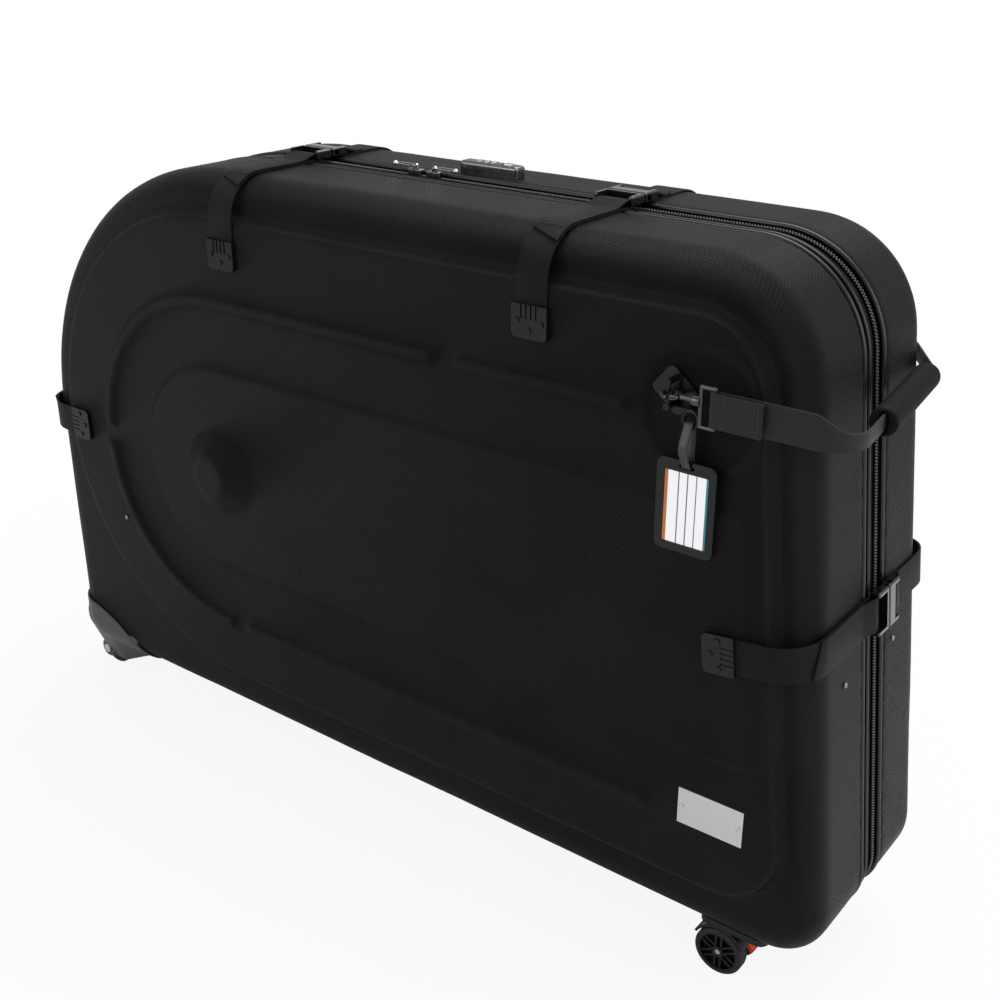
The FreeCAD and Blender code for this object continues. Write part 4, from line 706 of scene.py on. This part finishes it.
black_plastic = grained(
    "black_plastic", (0.005, 0.005, 0.006), roughness=0.24, spread=0.2, fineness=900.0,
    depth=0.03 * millimetre, Specular_IOR_Level=0.28)
steel = grained(
    "steel", (0.6, 0.61, 0.63), roughness=0.24, spread=0.08, fineness=300.0,
    depth=0.02 * millimetre, Metallic=1.0)
dark_plating = grained(
    "dark_plating", (0.2, 0.2, 0.21), roughness=0.22, spread=0.1, fineness=400.0,
    depth=0.002 * millimetre, Metallic=1.0)
dress(black_plastic, "front_strap_plates", "rear_strap_plates")
plate_reach = 62.0 * millimetre
nameplate_reach = 60.0 * millimetre
nameplate_low, nameplate_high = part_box("nameplate")
nameplate_middle = (nameplate_low + nameplate_high) / 2.0
rivet_finishes = (dark_plating, black_plastic, steel)
for side, way, face in (row[:3] for row in strap_sides):
    plates = []
    for origin, turn in (seat[:2] for seat in strap_seats):
        plate = origin - outwards(turn) * strap_drop + Vector((0.0, way * face, 0.0))
        plates.append((plate + drawing_shift) * millimetre)
    rivets = nodes[side + "_rivets"]
    rivets.data.materials.clear()
    for rivet_finish in rivet_finishes:
        rivets.data.materials.append(rivet_finish)
    for polygon in rivets.data.polygons:
        place = rivets.matrix_world @ polygon.center
        chosen = dark_plating
        if min((place - plate).length for plate in plates) < plate_reach:
            chosen = black_plastic
        if (place - nameplate_middle).length < nameplate_reach:
            chosen = steel
        polygon.material_index = rivet_finishes.index(chosen)


# Buckles: side release buckles moulded in glossy acetal, one on each strap, in three pieces.
# The frame's two arms bend inwards and snap into the socket.
buckle_gloss = grained(
    "buckle_gloss", (0.006, 0.006, 0.007), roughness=0.1, spread=0.2, fineness=500.0,
    depth=0.01 * millimetre, Coat_Weight=0.7)
dress(buckle_gloss, "buckle_sockets", "buckle_frames", "buckle_arms")


# Tow handle: a black anchor in the dish, a lacquered snap hook with a sprung gate, herringbone webbing
# folded round the hook's ring and sewn, drawn together into a padded grip that stands off the end.
lacquer = grained(
    "black_lacquer", (0.012, 0.012, 0.013), roughness=0.14, spread=0.2, fineness=500.0,
    depth=0.02 * millimetre, Coat_Weight=0.6)
dress(black_plastic, "front_tow_anchor")
dress(lacquer, "snap_hook", "hook_gate")


def herringbone_material(name, low, high):
    """A webbing whose ribs turn at every stripe of its width."""
    stripe_width, rib_pitch = 4.2 * millimetre, 2.4 * millimetre
    half_share = 0.5
    material, tree, shader = new_material(name, Roughness=0.6, Sheen_Weight=0.08, Specular_IOR_Level=0.25)
    x, y, z = own_axes(tree)
    stripe = math_node(tree, "PINGPONG", z, stripe_width)
    slant = math_node(tree, "ADD", math_node(tree, "ADD", x, y), stripe)
    rib = math_node(tree, "SINE", math_node(tree, "MULTIPLY", slant, 2.0 * math.pi / rib_pitch))
    height = math_node(tree, "ADD", math_node(tree, "MULTIPLY", rib, half_share), half_share)
    tree.links.new(ramp_node(tree, height, low, high, low_at=0.1, high_at=0.9), shader.inputs["Base Color"])
    bump(tree, shader, height, strength=0.6, distance=0.5 * millimetre)
    return material


herringbone = herringbone_material("tow_webbing", low=0.003, high=0.018)
tow_z = 688.0
tow_width = 34.0
tow_thickness = 2.0
taper_start = 562.0
taper_length = 34.0
narrow_share = 0.5
narrow_drop = 8.0
fold_outside, fold_inside = -181.35, -174.65
tow_front = [
    (516.44, fold_outside, 0.0), (463.09, fold_outside, 3.35), (463.09, fold_inside, 3.35),
    (603.42, fold_inside, 34.0), (591.39, -77.15, 0.0),
]
tow_rear = [(591.76, -60.98, 0.0), (576.19, 65.23, 15.0), (529.84, 137.15, 20.0), (439.84, 137.15, 0.0)]
tow_seam_rows = (478.0, 508.0, 512.0)
tow_stitch_pitch = 3.4
tow_stitch_lift = 1.1


def drawn_together(corner):
    """The webbing narrows to half its width where it is gathered into the grip."""
    part = min(1.0, max(0.0, (corner.x - taper_start) / taper_length))
    eased = part * part * (3.0 - 2.0 * part)
    width = 1.0 + (narrow_share - 1.0) * eased
    return Vector((corner.x, corner.y, corner.z * width - narrow_drop * eased))


tow = band("tow_front", rounded(tow_front, step=3.0), tow_width, tow_thickness, shape=drawn_together)
laid(tow, along_case, into_case, (0.0, 0.0, tow_z))
finish(tow, herringbone, "webbing", "front_half", "front_tow_webbing")
seam_points = [Vector((x, fold_outside)) for x in tow_seam_rows]
seam_places = stitch_spots(seam_points, Vector((1.0, 0.0)), tow_stitch_pitch, tow_stitch_lift)
tow_seam = strewn("tow_seam", small_block(length=0.9, height=0.6, width=2.4, edge=0.2), seam_places)
laid(tow_seam, along_case, into_case, (0.0, 0.0, tow_z))
finish(tow_seam, thread, "webbing", "front_half")
back_tow = band("tow_rear", rounded(tow_rear, step=3.0), tow_width * narrow_share, tow_thickness)
laid(back_tow, along_case, into_case, (0.0, 0.0, tow_z - narrow_drop))
finish(back_tow, herringbone, "webbing", "rear_half", "rear_tow_webbing")
grip_cloth = cloth_material(
    "grip_neoprene", pitch=1.1 * millimetre, low=0.003, high=0.007, roughness=0.7, depth=0.15 * millimetre)
grip = eased_copy("grip_sleeve", "tow_grip", voxel=1.5 * millimetre, rounds=12, kept_share=0.5)
finish(grip, grip_cloth, "grip_fabric", "rear_half", "tow_grip")


# Luggage tag: a moulded frame with a card behind a clear window, hung by a grey leather loop from an
# eye on the face. The card has three ruled lines and two coloured edges.
frame_plastic = grained(
    "tag_plastic", (0.005, 0.005, 0.006), roughness=0.22, spread=0.1, fineness=900.0,
    depth=0.01 * millimetre, Specular_IOR_Level=0.3)
clear_window = new_material(
    "clear_window", Base_Color=(1.0, 1.0, 1.0), Roughness=0.0, IOR=1.15, Transmission_Weight=1.0)[0]
dress(frame_plastic, "tag_frame")
dress(clear_window, "tag_window")


def ruled_card():
    """White card, ruled along its width; it glows a little, because the window keeps light off it."""
    material, tree, shader = new_material("ruled_card", Roughness=0.6, Emission_Strength=0.34)
    low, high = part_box("tag_card")
    from_edge = math_node(tree, "SUBTRACT", own_axes(tree)[0], low.x)
    width_share = math_node(tree, "DIVIDE", from_edge, high.x - low.x)
    ramp = tree.nodes.new("ShaderNodeValToRGB")
    ramp.color_ramp.interpolation = "CONSTANT"
    white = (0.85, 0.85, 0.86)
    grey = (0.3, 0.31, 0.33)
    teal = (0.15, 0.4, 0.42)
    orange = (0.6, 0.32, 0.16)
    stripes = [
        (0.0, orange), (0.07, white), (0.3, grey), (0.325, white), (0.5, grey), (0.525, white),
        (0.7, grey), (0.725, white), (0.93, teal),
    ]
    while len(ramp.color_ramp.elements) < len(stripes):
        ramp.color_ramp.elements.new(1.0)
    for element, (start_share, colour) in zip(ramp.color_ramp.elements, stripes):
        element.position = start_share
        element.color = (*colour, 1.0)
    tree.links.new(width_share, ramp.inputs["Fac"])
    tree.links.new(ramp.outputs["Color"], shader.inputs["Base Color"])
    tree.links.new(ramp.outputs["Color"], shader.inputs["Emission Color"])
    return material


dress(ruled_card(), "tag_card")
leather = grained(
    "grey_leather", (0.03, 0.03, 0.031), roughness=0.45, spread=0.25, fineness=350.0,
    depth=0.15 * millimetre)
tag_x = 440.84
tag_loop_width = 9.0
tag_loop_thickness = 1.6
tag_loop = [
    (-177.3, 624.0, 1.5), (-170.5, 624.0, 1.5), (-170.8, 669.43, 3.1), (-177.0, 669.43, 3.1),
    (-187.9, 645.2, 14.0),
]
loop_line = rounded(tag_loop, step=1.5, closed=True)
loop = band("tag_loop", loop_line, tag_loop_width, tag_loop_thickness, closed=True)
laid(loop, into_case, up_case, (tag_x, 0.0, 0.0))
finish(loop, leather, "tag_leather", "luggage_tag", "tag_strap")


# Nameplate: a stamped plate of metal, brushed along its length, with a plain face.
# It is held to the front half by a rivet at each end.
def brushed_metal(name, colour, roughness):
    """Metal brushed along the case: fine streaks in its roughness and height."""
    roughness_spread = 0.3
    streak_scale, streak_detail = 1.0, 2.0
    streak_density = (12.0, 60.0, 1400.0)
    material, tree, shader = new_material(name, Metallic=1.0, Base_Color=colour)
    mapping = tree.nodes.new("ShaderNodeMapping")
    mapping.inputs["Scale"].default_value = streak_density
    tree.links.new(own_place(tree), mapping.inputs["Vector"])
    streaks = noise_node(tree, mapping.outputs["Vector"], streak_scale, streak_detail)
    smooth = roughness * (1.0 - roughness_spread)
    rough = roughness * (1.0 + roughness_spread)
    tree.links.new(ramp_node(tree, streaks, smooth, rough), shader.inputs["Roughness"])
    bump(tree, shader, streaks, strength=0.2, distance=0.05 * millimetre)
    return material


dress(brushed_metal("brushed_metal", colour=(0.66, 0.66, 0.67), roughness=0.34), "nameplate")


# Combination lock and zip pulls: die-cast zinc. The dials, the button and the pulls are chromed, the
# lock's case and the sliders are plated dark.
chrome = grained(
    "chrome", (0.78, 0.78, 0.8), roughness=0.12, spread=0.05, fineness=400.0,
    depth=0.002 * millimetre, Metallic=1.0)
dress(chrome, "lock_button", "zip_pull_left", "zip_pull_right", "lock_dial_1", "lock_dial_2", "lock_dial_3")
dress(dark_plating, "zip_slider_left", "zip_slider_right", "lock_body")


# Wheel guards: thick moulded corners of grey polypropylene with generous radii, one on each half.
# They are screwed to the shells, and each holds one wheel's bolt.
guard_plastic = grained(
    "guard_plastic", (0.035, 0.036, 0.038), roughness=0.4, spread=0.1, fineness=900.0,
    depth=0.08 * millimetre)
for side in ("front", "rear"):
    guard = eased_copy(
        side + "_guard", side + "_wheel_guard", voxel=1.6 * millimetre, rounds=6, kept_share=0.4)
    finish(guard, guard_plastic, "guard_plastic", side + "_half", side + "_wheel_guard")


# Fixed wheels: a rubber tyre on a grey moulded hub.
# Each turns on a steel bolt through its guard.
rubber = grained(
    "rubber", (0.008, 0.008, 0.008), roughness=0.7, spread=0.25, fineness=600.0, depth=0.1 * millimetre)
hub_plastic = grained(
    "hub_plastic", (0.03, 0.03, 0.032), roughness=0.4, spread=0.15, fineness=600.0,
    depth=0.05 * millimetre)
dress(rubber, "front_wheel_tyre", "rear_wheel_tyre")
dress(hub_plastic, "front_wheel_hub", "rear_wheel_hub")
dress(steel, "front_wheel_axle", "rear_wheel_axle")


# Casters: a swivel body of black nylon over twin spoked wheels on a steel axle, with a red brake lever.
# The body turns on a stem in the bore of a plate, which is fixed under the shell.
caster_nylon = grained(
    "caster_nylon", (0.006, 0.006, 0.007), roughness=0.28, spread=0.2, fineness=700.0,
    depth=0.03 * millimetre, Specular_IOR_Level=0.3)
lever_red = grained(
    "lever_red", (0.92, 0.08, 0.02), roughness=0.3, spread=0.06, fineness=500.0, depth=0.02 * millimetre)
for side in ("front", "rear"):
    caster = side + "_caster"
    dress(caster_nylon, caster + "_plate", caster + "_body", caster + "_wheels")
    dress(rubber, caster + "_tyres")
    dress(steel, caster + "_axle")
    dress(lever_red, caster + "_lever")


# Stage: a white floor that keeps a soft shadow near the case and fades into the white behind it.
# Three large soft lamps light it, from above, from the right and from the front.
def seen_share(tree, rays):
    """One for the rays that the camera sees, straight or through glass, and nothing for others."""
    return math_node(tree, "MAXIMUM", rays["Is Camera Ray"], rays["Is Transmission Ray"])


bpy.ops.object.select_all(action="DESELECT")
bpy.ops.mesh.primitive_plane_add(size=14.0, location=(0.0, 0.0, cad_low.z))
floor = bpy.context.view_layer.objects.active
floor.name = "floor"
pale, tree, shader = new_material("pale_floor", Base_Color=(0.8, 0.8, 0.8), Roughness=0.9)
near_share, near_reach, far_reach = 0.9, 0.6, 1.5
away = tree.nodes.new("ShaderNodeVectorMath")
away.operation = "LENGTH"
tree.links.new(own_place(tree), away.inputs[0])
fade = tree.nodes.new("ShaderNodeMapRange")
fade.inputs["From Min"].default_value = near_reach
fade.inputs["From Max"].default_value = far_reach
fade.inputs["To Min"].default_value = near_share
tree.links.new(away.outputs["Value"], fade.inputs["Value"])
seen = seen_share(tree, tree.nodes.new("ShaderNodeLightPath").outputs)
glow = tree.nodes.new("ShaderNodeEmission")
mixer = tree.nodes.new("ShaderNodeMixShader")
tree.links.new(math_node(tree, "MULTIPLY", seen, fade.outputs["Result"]), mixer.inputs[0])
tree.links.new(shader.outputs[0], mixer.inputs[1])
tree.links.new(glow.outputs[0], mixer.inputs[2])
tree.links.new(mixer.outputs[0], tree.nodes["Material Output"].inputs["Surface"])
floor.data.materials.append(pale)
floor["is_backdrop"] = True

world = bpy.data.worlds.new("studio")
bpy.context.scene.world = world
world.use_nodes = True
tree = world.node_tree
diffuse_strength, glossy_strength = 0.5, 0.5
rays = tree.nodes.new("ShaderNodeLightPath").outputs
mirrored = math_node(tree, "MULTIPLY", rays["Is Glossy Ray"], glossy_strength)
seen = math_node(tree, "MAXIMUM", seen_share(tree, rays), mirrored)
background = tree.nodes["Background"]
background.inputs["Color"].default_value = (1.0, 1.0, 1.0, 1.0)
tree.links.new(math_node(tree, "MAXIMUM", seen, diffuse_strength), background.inputs["Strength"])


def soft_lamp(name, place, width, power):
    """A square lamp at a place, turned to the middle of the case."""
    middle = (cad_low + cad_high) / 2.0
    bpy.ops.object.light_add(type="AREA", location=place)
    lamp = bpy.context.view_layer.objects.active
    lamp.name = name
    lamp.data.size = width
    lamp.data.energy = power
    lamp.rotation_euler = (middle - Vector(place)).to_track_quat("-Z", "Y").to_euler()


soft_lamp("top_lamp", place=(0.3, 0.9, 2.9), width=2.4, power=60.0)
soft_lamp("right_lamp", place=(3.0, 0.3, 1.6), width=2.0, power=36.0)
soft_lamp("front_lamp", place=(-1.2, -3.0, 1.8), width=2.0, power=32.0)

camera_tilt = math.radians(65.95)
camera_turn = math.radians(37.3)
bpy.ops.object.camera_add(location=(1.0261, -1.201, 1.1151))
camera = bpy.context.view_layer.objects.active
camera.rotation_euler = (camera_tilt, 0.0, camera_turn)
camera.data.sensor_width = 36.0
camera.data.lens = 48.92
camera.data.clip_end = 50.0
bpy.context.scene.camera = camera
bpy.context.scene.view_settings.view_transform = "Standard"

low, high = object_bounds()
